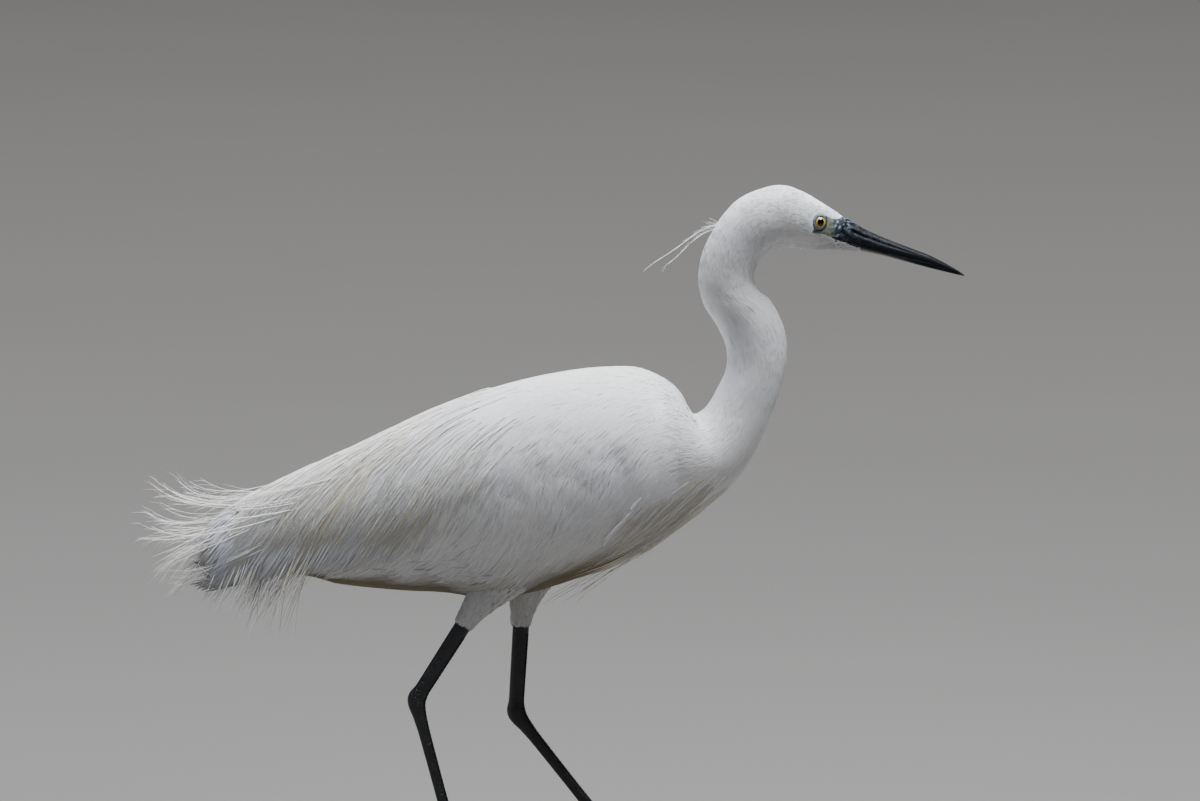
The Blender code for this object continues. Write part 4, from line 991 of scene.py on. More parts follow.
def scute_material(name, dark, light, cell):
    """Scaly leg skin: small close plates of horn of this size in millimetres, satin, patchy in tone."""
    material, tree, shader = new_material(name, 0.42, 1.5, Coat_Weight=0.1, Coat_Roughness=0.3)
    place = add(tree, "TexCoord", out="Object")
    cells = add(tree, "TexVoronoi", {"Vector": place, "Scale": PER_METRE / cell},
                feature="DISTANCE_TO_EDGE")
    spots = add(tree, "TexNoise", {"Vector": place, "Scale": PER_METRE / LEG_PATCH_SIZE,
                                   "Detail": 4.0})
    flat = add(tree, "MapRange", {"Value": cells, "From Max": 0.16})
    colour = add(tree, "Mix", {0: spots, 6: dark, 7: light}, 2, data_type="RGBA")
    tree.links.new(colour, shader.inputs["Base Color"])
    deep = add(tree, "Bump", {"Height": flat, "Strength": 0.7, "Distance": 0.00035})
    tree.links.new(deep, shader.inputs["Normal"])
    return material


# Settings that a user would change


class EgretColours(bpy.types.PropertyGroup):
    """Colours of the bird, as linear values of sRGB hex colours."""

    def colour(text, name, what):
        """A colour setting from its hex value."""
        return bpy.props.FloatVectorProperty(
            name=name, description=what, default=hex_colour(text), size=4, subtype="COLOR", min=0.0, max=1.0)

    white: colour("#F4F4F4", "White", "Feathers in full light")
    cream: colour("#E6E3DA", "Cream", "The warmest of the white feathers")
    # Painted cool skylight and shade: the back's sheath is mixed far towards this blue-white, other plumage a
    # little, in random patches
    cool: colour("#DDE3EF", "Cool white", "Feather roots and the cooler patches")
    # Painted shade and painted warm reflection of belly, vent, undertail and thighs; also the brown of the
    # throat's stains
    shade: colour("#6E6248", "Underside", "Warm shade of belly and undertail")
    shaft: colour("#E2D3A2", "Shaft", "Cream of the plumes' shafts")
    horn: colour("#0A0C0F", "Horn", "Black of the bill")
    iris: colour("#D8C24A", "Iris", "Yellow of the eye")
    leg: colour("#101113", "Leg", "Black of the leg")
    foot: colour("#A89A2E", "Foot", "Yellow of the toes")
    floor: colour("#757370", "Floor", "Pale studio floor")


class EgretSizes(bpy.types.PropertyGroup):
    """How much coat the bird has, and how large its scales are."""

    density: bpy.props.FloatProperty(
        name="Density", description="Share of the coat's full number of tufts", default=1.0, min=0.1, max=1.3)
    breast_plumes: bpy.props.IntProperty(
        name="Breast plumes", description="Long plumes under the breast on each side", default=9, min=2)
    scute: bpy.props.FloatProperty(
        name="Scute", description="Spacing of the large scales on the legs", default=0.0029, unit="LENGTH")
    seed: bpy.props.IntProperty(name="Seed", description="Chooses the small differences", default=7)


def chosen():
    """The scene's colours and sizes, and a fresh seeded chance."""
    scene = bpy.context.scene
    return scene.egret_colours, scene.egret_sizes, np.random.default_rng(scene.egret_sizes.seed)


def material_once(name, make, *given, **more):
    """The named material, made by make(name, ...) at its first use."""
    return bpy.data.materials.get(name) or make(name, *given, **more)


def down_material(colours):
    """Body feathers: loose barbs that end softly, so the coat looks matt and powdery."""
    return material_once("soft white body feather", plumage, colours, 0.35, 0.12, 0.35)


def sheath_material(colours):
    """Long back feathers: the same keratin, smoother, and bluer with painted cool skylight and shade."""
    return material_once("cool white back feather", plumage, colours, 0.35, 0.12, 0.3, cool=0.85)


def vane_material(colours):
    """Flight feathers: barbs hooked to a flat sheet, so they shine a little and show slanting lines."""
    return material_once("white flight feather vane", plumage, colours, 0.8, 0.25, 0.5, 0.62)


def plume_material(colours):
    """Loose plumes: bare shafts and unhooked barbs, glossy like silk, some of them cream."""
    return material_once("loose white plume", plumage, colours, 0.3, 0.1, 0.2, 0.55, shaft=0.8, cool=0.1)


# Skin


THIGH_RINGS = np.linspace(0, 0.985, 40)  # shares of the way from hip to bare leg
THIGH_SIDES = 40


def leg_points(which):
    """Where a leg's bare part starts and where its ankle is."""
    data = LEGS[which]
    y = data["side"] * LEG_SPREAD
    return (np.array([data[key][0], y, data[key][1]]) for key in ("bare", "ankle"))


def thigh_rings(which):
    """The feathered thigh's middle line, its half widths, and the ways across it and along its rise."""
    bare, ankle = leg_points(which)
    along = unit(ankle - bare)
    bend = bare - along * THIGH_BEND
    top = bend - along * THIGH_BEND + HIP
    s = THIGH_RINGS[:, None]
    path = top * (1 - s) ** 2 + bend * 2 * s * (1 - s) + bare * s**2
    sizes = np.array(THIGH_END) + np.array(THIGH_GAIN) * (1 - s) ** 1.45
    way = unit(np.gradient(path, axis=0))
    across = unit(np.cross(way, (1.0, 0, 0)))
    rise = np.cross(across, way)
    return path, sizes, across, rise


def ring_points(path, sizes, across, rise, sides):
    """Rings round a path; sizes (n, 2) are half the width across and along rise."""
    angle = 2 * math.pi * np.arange(sides) / sides
    ring = across[:, None] * (sizes[:, 0, None] * np.cos(angle))[..., None]
    ring = ring + rise[:, None] * (sizes[:, 1, None] * np.sin(angle))[..., None]
    return path[:, None] + ring


SKIN_SIDES = 160
SKIN_STEP, HEAD_STEP = 0.12, 0.05  # places from one ring to the next
REAR_SINK = 0.5  # how much deeper the skin lies behind the loin, under the cloak
BARE_DEPTH = 0.15  # how deep bare skin lies under the solids' surface
SOCKET_DEPTH, MOUTH_DEPTH = 4.5, 0.5
MOUTH_LINE = np.array([(163.5, 395.6), (170.0, 394.2), (184.0, 390.9)])  # x and z of the gape
THIGH_DEPTH, THIGH_PAINTED_SHADE = 0.7, 0.3  # how deep the thigh's skin lies under its coat, and how much painted shade skin and coat take
THIGH_MAP = (0.4, 0.08)  # one thigh's share of the unwrap, under the skin's own


def make_skin():
    """One skin from tail to bill with both thighs, inside the solids by the coat's depth."""
    colours, _, _ = chosen()
    places = np.concatenate([np.arange(at("tail middle", -0.2), at("nape"), SKIN_STEP),
                             np.arange(at("nape"), at("bill root") + 0.001, HEAD_STEP)])
    turn = np.arange(SKIN_SIDES) * 360 / SKIN_SIDES - 180
    place, turn = np.meshgrid(places, turn, indexing="ij")
    depth = coat(place, 4) - settle(place, turn)
    depth = depth + REAR_SINK * (1 - smooth(place, at("loin", -0.2), at("loin", 0.3)))
    points = squeeze(skin(place, turn, -depth))
    surface = skin(place, turn)
    socket = np.clip((1.45 - from_eyes(surface, 0, 0, *LID_OPENING)) / 0.45, 0, 1)
    bare = np.maximum(bare_share(surface), 1 - smooth(from_eyes(surface, *LID_RING), 0.85, 1.0))
    lift = (depth - BARE_DEPTH) * bare - SOCKET_DEPTH * socket
    points = points + outward(place, turn) * lift[..., None]
    x, z = surface[..., 0], surface[..., 2]
    mouth_z = np.interp(x, MOUTH_LINE[:, 0], MOUTH_LINE[:, 1])
    mouth = smooth(-np.abs(z - mouth_z), -0.75, -0.25) * smooth(x, 164.5, 168.0)
    points = points - outward(place, turn) * (MOUTH_DEPTH * mouth)[..., None]
    front = smooth(x, 175.5, 180.5) * smooth(z, 388.0, 391.0)
    body, faces = ringed(points)
    # tint carries the painted shade of the underside, and the throat's stains
    values = {"bare": bare, "mouth": mouth, "front": front, "tint": painted_shade_and_stains(place, turn)}
    values = {key: np.concatenate([v.ravel(), [0, 0]]) for key, v in values.items()}
    around = unwrap(place, turn).reshape(-1, 2)
    long = np.concatenate([[0], np.cumsum(np.hypot(*np.diff(section(places)[:2], axis=1)))])
    girth = np.hypot(*section(places)[3:]) * math.pi * math.sqrt(2)
    ruled = np.stack([turn / 360 * girth[:, None], long[:, None] + 0 * turn], -1).reshape(-1, 2)
    maps = {"OFBake": np.concatenate([around, np.array([(0.5, 0.09), (0.5, 0.99)])]),
            "barb": np.concatenate([ruled, ruled[:2]])}
    made = solid("egret_skin", body, faces, skin_material(colours), maps, values)
    for i, which in enumerate(LEGS):
        path, sizes, across, rise = thigh_rings(which)
        rings, sides = ringed(ring_points(path, sizes - THIGH_DEPTH, across, rise, THIGH_SIDES))
        down = np.linspace(0, THIGH_MAP[1], len(path))
        about = np.linspace(0, THIGH_MAP[0], THIGH_SIDES) + 0.5 * i
        shares = np.stack(np.meshgrid(down, about, indexing="ij"), -1)[..., ::-1].reshape(-1, 2)
        shares = np.concatenate([shares, shares[:2]])
        maps = {"OFBake": shares, "barb": shares * np.array([100.0, 900.0])}
        flat = {key: np.zeros(len(rings)) for key in values}
        flat["tint"] += THIGH_PAINTED_SHADE
        union(made, solid("thigh", rings, sides, made.data.materials[0], maps, flat))
    made.data.shade_smooth()
    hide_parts("torso", "neck_lower", "neck_upper", "head", "thigh_left", "thigh_right")
    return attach(made, "root")


def union(made, other):
    """Joins other into made as one closed surface and removes it."""
    step = made.modifiers.new("join", "BOOLEAN")
    step.operation, step.solver, step.object = "UNION", "MANIFOLD", other
    graph = bpy.context.evaluated_depsgraph_get()
    result = bpy.data.meshes.new_from_object(made.evaluated_get(graph))
    made.modifiers.clear()
    made.data = result
    bpy.data.objects.remove(other)


# Coat


def make_coat():
    """The small feathers of head, neck, breast, back, wings and belly, a piece for each."""
    colours, sizes, chance = chosen()
    down = down_material(colours)

    def above_wing(place, turn):
        """The back down to a little way under each wing's upper edge."""
        return np.abs(turn) < wing_edge(place, 1) + 12

    def on_wing(place, turn):
        """Inside the outline of a wing, where its feathers are still small."""
        inside = (np.abs(turn) > wing_edge(place, 1) + 4) & (np.abs(turn) < wing_edge(place, 2) - 3)
        return inside & (place < WING_BEND) & ((WING_BEND - place) / (WING_BEND - WING_TIP) < 0.80)

    def on_left_wing(place, turn):
        """The small feathers of the left wing."""
        return on_wing(place, turn) & (turn > 0)

    def on_right_wing(place, turn):
        """The small feathers of the right wing."""
        return on_wing(place, turn) & (turn < 0)

    def at_cloak_edge(place, turn):
        """Under the edge of the long back feathers."""
        return (np.abs(turn) > cloak_edge(place) - 10) & (cloaked(place, turn) > 0.5)

    def below_wing(place, turn):
        """The belly and flanks up to each wing's lower edge, and the whole breast."""
        return (np.abs(turn) > wing_edge(place, 2) - 8) | (place > at("breast"))

    # Name, area, where in it, height and length of a tuft against the coat's table, share of its number of
    # tufts, and how deep its hollows are
    wing = (at("tail middle"), at("breast", 0.6), 30, 150)
    areas = [
        ("head", (at("hind crown", -0.4), at("bill root"), -180, 180), None, 0.0, 1.0, 0.92, 0.12),
        ("neck", (at("neck root"), at("hind crown", -0.4), -180, 180), None, 0.0, 1.0, 0.8, 0.12),
        ("breast", (at("breast", 0.3), at("neck root"), -180, 180), None, 0.0, 1.0, 0.95, 0.05),
        ("back", (at("tail root"), at("breast", 0.3), -62, 62), above_wing, 0.02, 1.3, 0.9, 0.05),
        ("wing_left", wing, on_left_wing, 0.1, 1.1, 0.92, 0.26),
        ("wing_right", wing, on_right_wing, 0.1, 1.1, 0.92, 0.26),
        ("scapulars", (at("thigh", 0.6), at("breast", 0.2), 52, 75), at_cloak_edge, 0.4, 1.25, 1.0, 0.26),
        ("belly", (at("tail middle", 0.2), at("breast", 0.3), 88, 180), below_wing, 0.0, 1.0, 0.85, 0.05),
    ]
    for name, area, keep, rise, longer, share, puff in areas:
        tufts("coat_" + name, area, down, chance, sizes.density * share, keep, rise, longer, puff=puff)


NOTCH_STATIONS = np.array([0.0, 0.25, 0.5, 0.75, 1.0])
NOTCH_RISE = np.array([0.0, 0.7, 1.0, 1.0, 0.8])
NOTCH_AREA = (at("crop", -1.0), at("neck root", 1.1), -125, 125)
NOTCH_SPACING = 1.15  # square millimetres for each tuft
NOTCH_SINK = 0.35  # how deep a tuft's root lies there


def make_notch_coat():
    """Feathers in the notch between neck and back, where the sections slide past one another."""
    colours, sizes, chance = chosen()
    low, _, _, widest = NOTCH_AREA
    place, turn = pick(NOTCH_AREA, NOTCH_SPACING / sizes.density, chance)
    full = smooth(place, low, low + 0.9) * (1 - smooth(np.abs(turn), 90, widest))
    good = chance.random(len(place)) < 0.25 + 0.75 * full
    place, turn, full = place[good], turn[good], full[good]
    count = len(place)
    side = np.where(turn < 0, -1.0, 1.0)
    root = skin(place, turn)
    swing = np.radians(8 + 5 * waves(root, 12.0, 41) + chance.normal(0, 3.0, count))
    length = chance.uniform(8.0, 13.0, count)
    stand = 0.08 + chance.uniform(0.12, 0.45, count) * full
    line, ups = [], []
    for i, rise in enumerate(NOTCH_RISE):
        forward, around = slopes(place, turn)
        if i:
            step = length * (NOTCH_STATIONS[i] - NOTCH_STATIONS[i - 1])
            place = place - np.cos(swing) * step / np.linalg.norm(forward, axis=-1)
            turn = turn + side * np.sin(swing) * step / np.linalg.norm(around, axis=-1)
            forward, around = slopes(place, turn)
        out = unit(np.cross(forward, around))
        line.append(skin(place, turn) + out * (stand * rise - NOTCH_SINK * (1 - rise))[:, None])
        ups.append(out)
    half = (0.48 * chance.uniform(0.8, 1.2, count))[:, None] * np.array([0.75, 1.0, 0.9, 0.6])
    made = blades(np.stack(line, 1), np.stack(ups, 1), half, half * TUFT_THICKNESS, TUFT,
                  unwrap(low + 0 * turn, turn), TUFT_SOFTNESS, chance.random(count))
    return save("coat_notch", made, down_material(colours))


CHIN_TUFTS, CHIN_HALF_WIDTH = 1900, 0.22


def make_chin_coat():
    """The small feathers that run out to a point on the lower half of the bill."""
    colours, sizes, chance = chosen()
    count = int(CHIN_TUFTS * sizes.density)
    share, angle = chance.uniform(-0.11, 0.215, count), chance.uniform(0.0, math.pi, count)
    x, _, z = bill_point(share, angle, False).T
    good = z < CHIN_TOP[1] - (x - CHIN_TOP[0]) * CHIN_FALL + chance.normal(0, 0.25, count)
    share, angle = share[good], angle[good]
    count = len(share)
    s = np.array([0.0, 0.35, 0.7, 1.0])
    back = share[:, None] - chance.uniform(0.04, 0.06, count)[:, None] * s
    turn = np.broadcast_to(angle[:, None], back.shape)
    ups = unit(np.stack([np.zeros(back.shape), np.cos(turn), -0.7 * np.sin(turn)], -1))
    lift = -0.25 + 0.62 * s + chance.normal(0, 0.08, (count, 1)) * s
    line = bill_point(back, turn, False) + ups * lift[..., None]
    half = CHIN_HALF_WIDTH * chance.uniform(0.8, 1.2, count)[:, None] * np.array([0.8, 1.0, 0.6])
    roots = unwrap(np.full(count, at("bill root")), np.degrees(angle) + 90)
    made = blades(line, ups, half, half * 0.45, TUFT, roots, 0.7, chance.random(count))
    return save("coat_chin", made, down_material(colours))


THIGH_TUFTS, THIGH_HALF_WIDTH = 2800, 0.68
THIGH_STATIONS = np.array([0.0, 0.4, 0.75, 1.0])
THIGH_LIFT = (-1.5, 1.9)  # how deep a tuft's root lies there, and how far its tip rises from that


def make_thigh_coat():
    """The short feathers of both thighs, down to the bare leg."""
    colours, sizes, chance = chosen()
    for i, which in enumerate(LEGS):
        path, size, across, rise = thigh_rings(which)
        count = int(THIGH_TUFTS * sizes.density)
        s = 0.06 + 0.90 * chance.random(count) ** 0.8
        angle = chance.uniform(0, 2 * math.pi, count)
        span = np.linalg.norm(np.diff(path, axis=0), axis=1).sum()
        length = chance.uniform(6.0, 10.0, count) * (1.15 - 0.45 * s)
        steps = (s[:, None] + (length / span)[:, None] * THIGH_STATIONS).clip(0, 1.06)

        def along(rows):
            """Rows at every tuft's stations, run on straight past the last."""
            grid = THIGH_RINGS
            inner = np.stack([np.interp(steps, grid, rows[:, c]) for c in range(rows.shape[1])], -1)
            slope = (rows[-1] - rows[-4]) / (grid[-1] - grid[-4])
            return inner + np.maximum(steps - grid[-1], 0)[..., None] * slope

        middle, wide, side, up = along(path), along(size), unit(along(across)), unit(along(rise))
        lift = (THIGH_LIFT[0] + THIGH_LIFT[1] * TUFT_RISE)[None]
        lift = lift + chance.normal(0, 0.25, (count, 1)) * THIGH_STATIONS
        turn = angle[:, None]
        out = side * np.cos(turn)[..., None] * (wide[..., :1] + lift[..., None])
        out = out + up * np.sin(turn)[..., None] * (wide[..., 1:] + lift[..., None])
        half = THIGH_HALF_WIDTH * chance.uniform(0.8, 1.3, count)[:, None] * TUFT_TAPER
        roots = np.stack([THIGH_MAP[0] * angle / (2 * math.pi) + 0.5 * i, THIGH_MAP[1] * s], -1)
        # The thigh's tufts take painted shade, as their skin does
        made = blades(middle + out, unit(out), half, half * 0.42, TUFT, roots, TUFT_SOFTNESS,
                      chance.random(count), THIGH_PAINTED_SHADE)
        save("coat_thigh_" + which, made, down_material(colours))


EDGE_FEATHERS = 6  # the bright slivers down each wing's leading edge


def make_wings():
    """The vanes of both folded wings, and the bright edge of each at its bend."""
    colours, _, chance = chosen()
    count, t = EDGE_FEATHERS, VANE_STATIONS
    for side, word in ((-1, "right"), (1, "left")):
        vanes = wing_vanes(side, chance)
        n = 0.28 + 0.66 * np.arange(count)[:, None] / (count - 1)
        place = at("breast", 0.15) - 1.25 * n - 0.3 * t + 0.07 * chance.normal(size=(count, 1)) * (0.5 + t)
        turn = side * (101.0 + 26.0 * n + (4.0 + 3.0 * chance.random((count, 1))) * t + 1.5 * t**2)
        lifts = -0.5 + (1.2 + 0.9 * chance.random((count, 1))) * np.sqrt(t)[None]
        half = 1.1 * VANE_SHAPE[None] * chance.uniform(0.6, 1.1, (count, 1))
        ups = unit(outward(place, turn) + 0.9 * SKY)
        edge = blades(skin(place, turn, lifts), ups, half, half * 0.4, VANE,
                      unwrap(place[:, 0], turn[:, 0]), 0.4, np.zeros(count))
        save("wing_vanes_" + word, joined([vanes, edge]), vane_material(colours), ["wing_" + word])


# The tail's vanes take this much painted shade: the warm dark of an undertail in shade, lit from below
TAIL_FEATHERS, TAIL_HALF_WIDTH, TAIL_THICKNESS, TAIL_PAINTED_SHADE = 11, 4.6, 0.6, 0.28


def make_tail():
    """The tail's overlapping feathers, the middle ones on top."""
    colours, _, chance = chosen()
    count = TAIL_FEATHERS
    n = np.arange(count) - count // 2
    out = np.abs(n) + np.where(n > 0, 0.5, 0.0)
    root = np.stack([np.full(count, TAIL_ROOT[0]), 0.8 * n, TAIL_ROOT[1] - 0.75 * out], -1)
    tip = np.stack([TAIL_TIP[0] + 2.4 * out, 1.6 * n, TAIL_TIP[1] - 0.95 * out], -1)
    line = root[:, None] + (tip - root)[:, None] * VANE_STATIONS[None, :, None]
    half = np.broadcast_to(TAIL_HALF_WIDTH * VANE_SHAPE, (count, len(VANE_SHAPE)))
    made = blades(line, np.broadcast_to(SKY, line.shape), half, half * 0 + TAIL_THICKNESS, VANE,
                  unwrap(np.full(count, at("tail middle")), n * 3.0), 0.4, chance.random(count), TAIL_PAINTED_SHADE)
    return save("tail_vanes", made, vane_material(colours), ["tail"])


def make_cloak():
    """The smooth long feathers of the back that fall over wings and tail: a sheath and ribbons over it."""
    colours, sizes, chance = chosen()
    sheath = sheath_material(colours)
    places = REAR_END + (at("loin") - REAR_END) * np.linspace(0, 1, 90) ** 1.6
    place, across = np.meshgrid(places, np.linspace(-1, 1, 121), indexing="ij")
    turn = (cloak_edge(place) + 5) * across
    points, faces = ringed(skin(place, turn, settle(place, 0 * turn) - coat(place, 4)))
    around = unwrap(place, turn).reshape(-1, 2)
    around = np.concatenate([around, around[:2]])
    # The sheath takes the same painted shade as the coat under it
    tint = np.concatenate([painted_shade_and_stains(place, turn).ravel(), [0, 0]])
    piece = solid("cloak_sheath", points, faces, sheath, {"OFBake": around, "barb": around * 400},
                  {"tone": np.full(len(points), 0.3), "tint": tint})
    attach(piece, "root")

    def longer(place):
        """Tufts grow towards the rump."""
        return 1.0 + 0.6 * smooth(place, at("tail end", 0.5), at("rump"))

    area = (at("tail end", 0.5), at("keel"), 0, 132)
    for side, word in ((-1, "right"), (1, "left")):
        tufts("cloak_" + word, area, sheath, chance, 0.95 * sizes.density,
              lambda p, t: (t * side >= 0) & (cloaked(p, t) > 0.5), 0.05, longer, False, 114.0, 0.04,
              0.45, at("tail end", 0.62), 0.45, ["mantle"] if side == 1 else ())
    tufts("cloak_end", (REAR_END + 0.3, at("tail end", 0.75), -121, 121), sheath, chance,
          0.9 * sizes.density, None, 0.0, 0.6, False, puff=0.3, sway=1.2, last=NEVER_LAST, sky=1.2)


STRAND_WIDTH, WISP_WIDTH, BARB_WIDTH = 0.56, 0.36, 0.18
STRAND_SPACING = 10.0  # square millimetres for each strand over the cloak
STRAND_AREA = (at("behind tail", 0.8), at("belly", 0.9), 2, 118)


def make_strands():
    """The loose strands of the back plumes: over the cloak, past its edge, and up behind the tail."""
    colours, _, chance = chosen()
    s = np.linspace(0, 1, 11)
    for side, word in ((-1, "right"), (1, "left")):
        place, turn = pick(STRAND_AREA, STRAND_SPACING, chance)
        root = skin(place, turn)
        good = (turn * side > 0) & (np.abs(turn) < cloak_edge(place) + 2)
        good &= chance.random(len(place)) < 1 - 0.93 * smooth(place, at("flank", 0.5), at("keel", 0.3))
        good &= chance.random(len(place)) < 0.55 + 0.6 * waves(root, 22.0, 23)
        place, turn, root = place[good], turn[good], root[good]
        count = len(place)
        swing = 6 * waves(root, 40.0, 21) + 3 * waves(root, 9.0, 22) + chance.normal(0, 3.0, count)
        steep = (1 - smooth(place, at("tail root"), at("loin"))) * smooth(np.abs(turn), 55, 95)
        swing = np.radians(swing + 14 * steep)
        length = chance.uniform(45, 105, count)
        length = length * (0.42 + 0.58 * smooth(place, at("behind tail", 0.8), at("loin")))
        length = length * (1 - 0.35 * smooth(np.abs(turn), 70, 115))
        lift = chance.uniform(0.7, 1.5, count)[:, None] + 0.6 * s**2 * chance.normal(0.3, 1.0, (count, 1))
        lift = np.maximum(lift - 2.6 * np.maximum(1 - s / 0.12, 0), -1.2)
        curl = chance.normal(0, 0.003, (count, 3)) + np.array([-0.001, 0.0, -0.001])
        front = smooth(place, at("rump"), at("loin", 0.6))
        length = length * (1 - 0.45 * front * smooth(np.abs(turn), 35, 90))
        bend = np.radians(chance.normal(2, 5, count))
        line, ups = comb(place, turn, length, s, swing, lift, bend, 112.0 + 60 * front,
                         at("tail end", -0.1), curl)
        line = np.maximum(line, [PLUMES_END_X, -99, 0])
        groups = [threads(line, ups, STRAND_WIDTH, chance, unwrap(place, turn), taper=0.3, sky=0.9)]
        groups += rear_wisps(side, chance)
        save("plume_strands_" + word, joined(groups), plume_material(colours))


def rear_wisps(side, chance):
    """Long thin plumes that leave the back in bundles and curve up behind the tail, with sparse barbs."""
    t = np.linspace(0, 1, 17)
    lines = []
    for points, count in WISPS:
        table = np.array(points)
        s = np.linspace(0, 1, len(points))
        x, z = (np.polyval(np.polyfit(s, table[:, c], 3), t) for c in (0, 1))
        reach = chance.uniform(0.66, 1.0, count)
        for i in range(count):
            stray = chance.normal(0, 1, 4)
            xs = np.interp(t * reach[i], t, x) + 3.0 * stray[0] * (1 - t)
            zs = np.interp(t * reach[i], t, z) + 2.5 * stray[1] * (1 - t) + 4.5 * stray[2] * t**2.2
            out = beside(xs, zs) * (1 - 0.75 * t**1.5) + 0.9 - 2.2 * np.maximum(1 - t / 0.1, 0)
            lines.append(np.stack([xs, side * (np.abs(stray[3]) * (1 + 7 * t) + out), zs], -1))
    lines = np.maximum(np.array(lines), [PLUMES_END_X, -99, 0])
    ups = np.broadcast_to(BARB_UP, lines.shape)
    roots = unwrap(np.full(len(lines), at("tail root")), side * chance.uniform(10, 60, len(lines)))
    wisps = threads(lines, ups, WISP_WIDTH, chance, roots, taper=0.5, sky=0.4)
    return [wisps, fringe(lines, 7, 20.0, 0.55, BARB_WIDTH, chance, 0.4)]


def beside(x, z):
    """How far out to the side the skin lies at x and z; 0 above and below it."""
    body = int(at("throat base"))
    place = np.interp(x, SIZES[:body, 0], np.arange(body))
    _, middle, _, deep, wide = section(place)
    return wide * np.sqrt(np.maximum(1 - ((z - middle) / deep) ** 2, 0))


BARB_UP = np.array([0.0, -0.3, 1.0])


def fringe(lines, count, length, lean, width, chance, first=0.1, pull=-0.12):
    """Loose barbs along lines in space: each leaves its shaft at a slant and bends with its weight."""
    n, k = lines.shape[:2]
    t = np.linspace(0, 1, k)
    start = first + (0.97 - first) * (np.arange(count) + chance.random((n, count))) / count

    def sampled(rows):
        """Each line's values at its barbs' starts."""
        return np.stack([np.stack([np.interp(start[i], t, rows[i, :, c]) for c in range(3)], -1)
                         for i in range(n)]).reshape(-1, 3)

    base, way = sampled(lines), unit(sampled(np.gradient(lines, axis=1)))
    out = unit(np.cross(way, chance.normal(size=(n * count, 3))))
    reach = length * chance.uniform(0.5, 1.1, n * count) * (1 - 0.5 * start.ravel())
    s = np.linspace(0, 1, 7)[None, :, None]
    sideways = out * (lean * chance.uniform(0.3, 1.0, n * count))[:, None]
    path = way[:, None] * s + sideways[:, None] * s**1.3 + pull * SKY * s**2
    path = base[:, None] + path * reach[:, None, None]
    path = np.maximum(path, [PLUMES_END_X - 1, -99, 0])
    roots = unwrap(np.full(n * count, at("tail root")), chance.uniform(-60, 60, n * count))
    return threads(path, np.broadcast_to(BARB_UP, path.shape), width, chance, roots, taper=0.4, sky=0.6)


BREAST_SPACING = 14.0  # square millimetres for each short plume between the long ones


def make_breast_plumes():
    """The loose pointed plumes that hang from the foot of the neck under the breast."""
    colours, sizes, chance = chosen()
    t = np.linspace(0, 1, 13)
    groups = []
    for side in (-1, 1):
        places, turns, lifts = plume_paths(sizes.breast_plumes, side, chance, t)
        lines = skin(places, turns, lifts)
        roots = unwrap(places[:, 0], turns[:, 0])
        groups.append(threads(lines, outward(places, turns), 0.6, chance, roots, tint=0.3, sky=0.4))
        groups.append(fringe(lines, 7, 16.0, 0.22, 0.26, chance, 0.35))
    place, turn = pick((at("shoulder", 0.6), at("crop", 0.8), 112, 179), BREAST_SPACING, chance)
    count = len(place)
    swing = np.radians(6 * waves(skin(place, turn), 20.0, 31) + chance.normal(0, 3.0, count))
    s = np.linspace(0, 1, 8)
    lift = chance.uniform(0.2, 0.9, count)[:, None] - 1.8 * np.maximum(1 - s / 0.15, 0)
    line, ups = comb(place, turn, chance.uniform(24, 52, count), s, swing, lift)
    groups.append(threads(line, ups, 0.6, chance, unwrap(place, turn), taper=0.25, sky=0.3,
                          tint=chance.uniform(0, 0.5, count) ** 2))
    return save("breast_plumes", joined(groups), plume_material(colours))


def make_nape_plumes():
    """The two long thin plumes of the hind head, each with a fringe of short barbs."""
    colours, _, chance = chosen()
    groups = []
    t = np.linspace(0, 1, 19)
    half = np.linspace(0.42, 0.18, 18)[None]
    for points, left in NAPE_PLUMES:
        table = np.array(points)
        s = np.linspace(0, 1, len(points))
        height = np.polyval(np.polyfit(s, table[:, 1], 4), t)
        line = np.stack([np.interp(t, s, table[:, 0]), left * t, height], -1)
        up = np.broadcast_to(np.array([-0.35, 0.0, 1.0]), (1, 19, 3))
        roots = unwrap(np.array([at("hind crown")]), np.array([left]))
        groups.append(blades(line[None], up, half, half * STRAND_THICKNESS, TUFT, roots, 0.5, np.zeros(1)))
        groups.append(fringe(line[None], 40, 13.0, 0.06, 0.2, chance, 0.02, -0.03))
    made = joined(groups)
    made[3]["tone"] = 0.31 + 0.15 * made[3]["tone"]  # white, without the cream of other shafts
    return save("nape_plumes", made, plume_material(colours))


# Bill and eyes


def bill_sizes(share):
    """The bill's top, mouth line, underside and half width at shares from root to tip."""
    return [np.interp(share, BILL_SHAPE[:, 0], column) for column in BILL_SHAPE.T[1:]]


def bill_x(share, z):
    """How far forward the bill's surface lies at shares and heights, its root leaning with the face."""
    root_z, lean = section(at("bill root"))[1:3]
    slope = math.tan(math.radians(lean)) * (1 - np.clip(share, 0, 1)) ** 2
    return BILL_ROOT_X + BILL_SPAN * share + (z - root_z) * slope


def bill_point(share, angle, upper):
    """The bill's surface at shares from root to tip and angles (0 to pi) over or under the mouth line."""
    top, mouth, under, wide = bill_sizes(share)
    crest = top if upper else under
    z = mouth + (crest - mouth) * np.sin(angle) ** BILL_ARCH
    return np.stack([bill_x(share, z), wide * np.cos(angle), z], -1)


BILL_STEPS, BILL_SIDES = 130, 48
BILL_GAP = 0.15  # from the mouth line to each mandible's edge
BILL_BLUR = np.array([1, 3, 5, 6, 5, 3, 1]) / 24  # rounds the table's corners off
GROOVE_HEIGHT = 0.60  # of the nostril's groove, as a share of the upper mandible


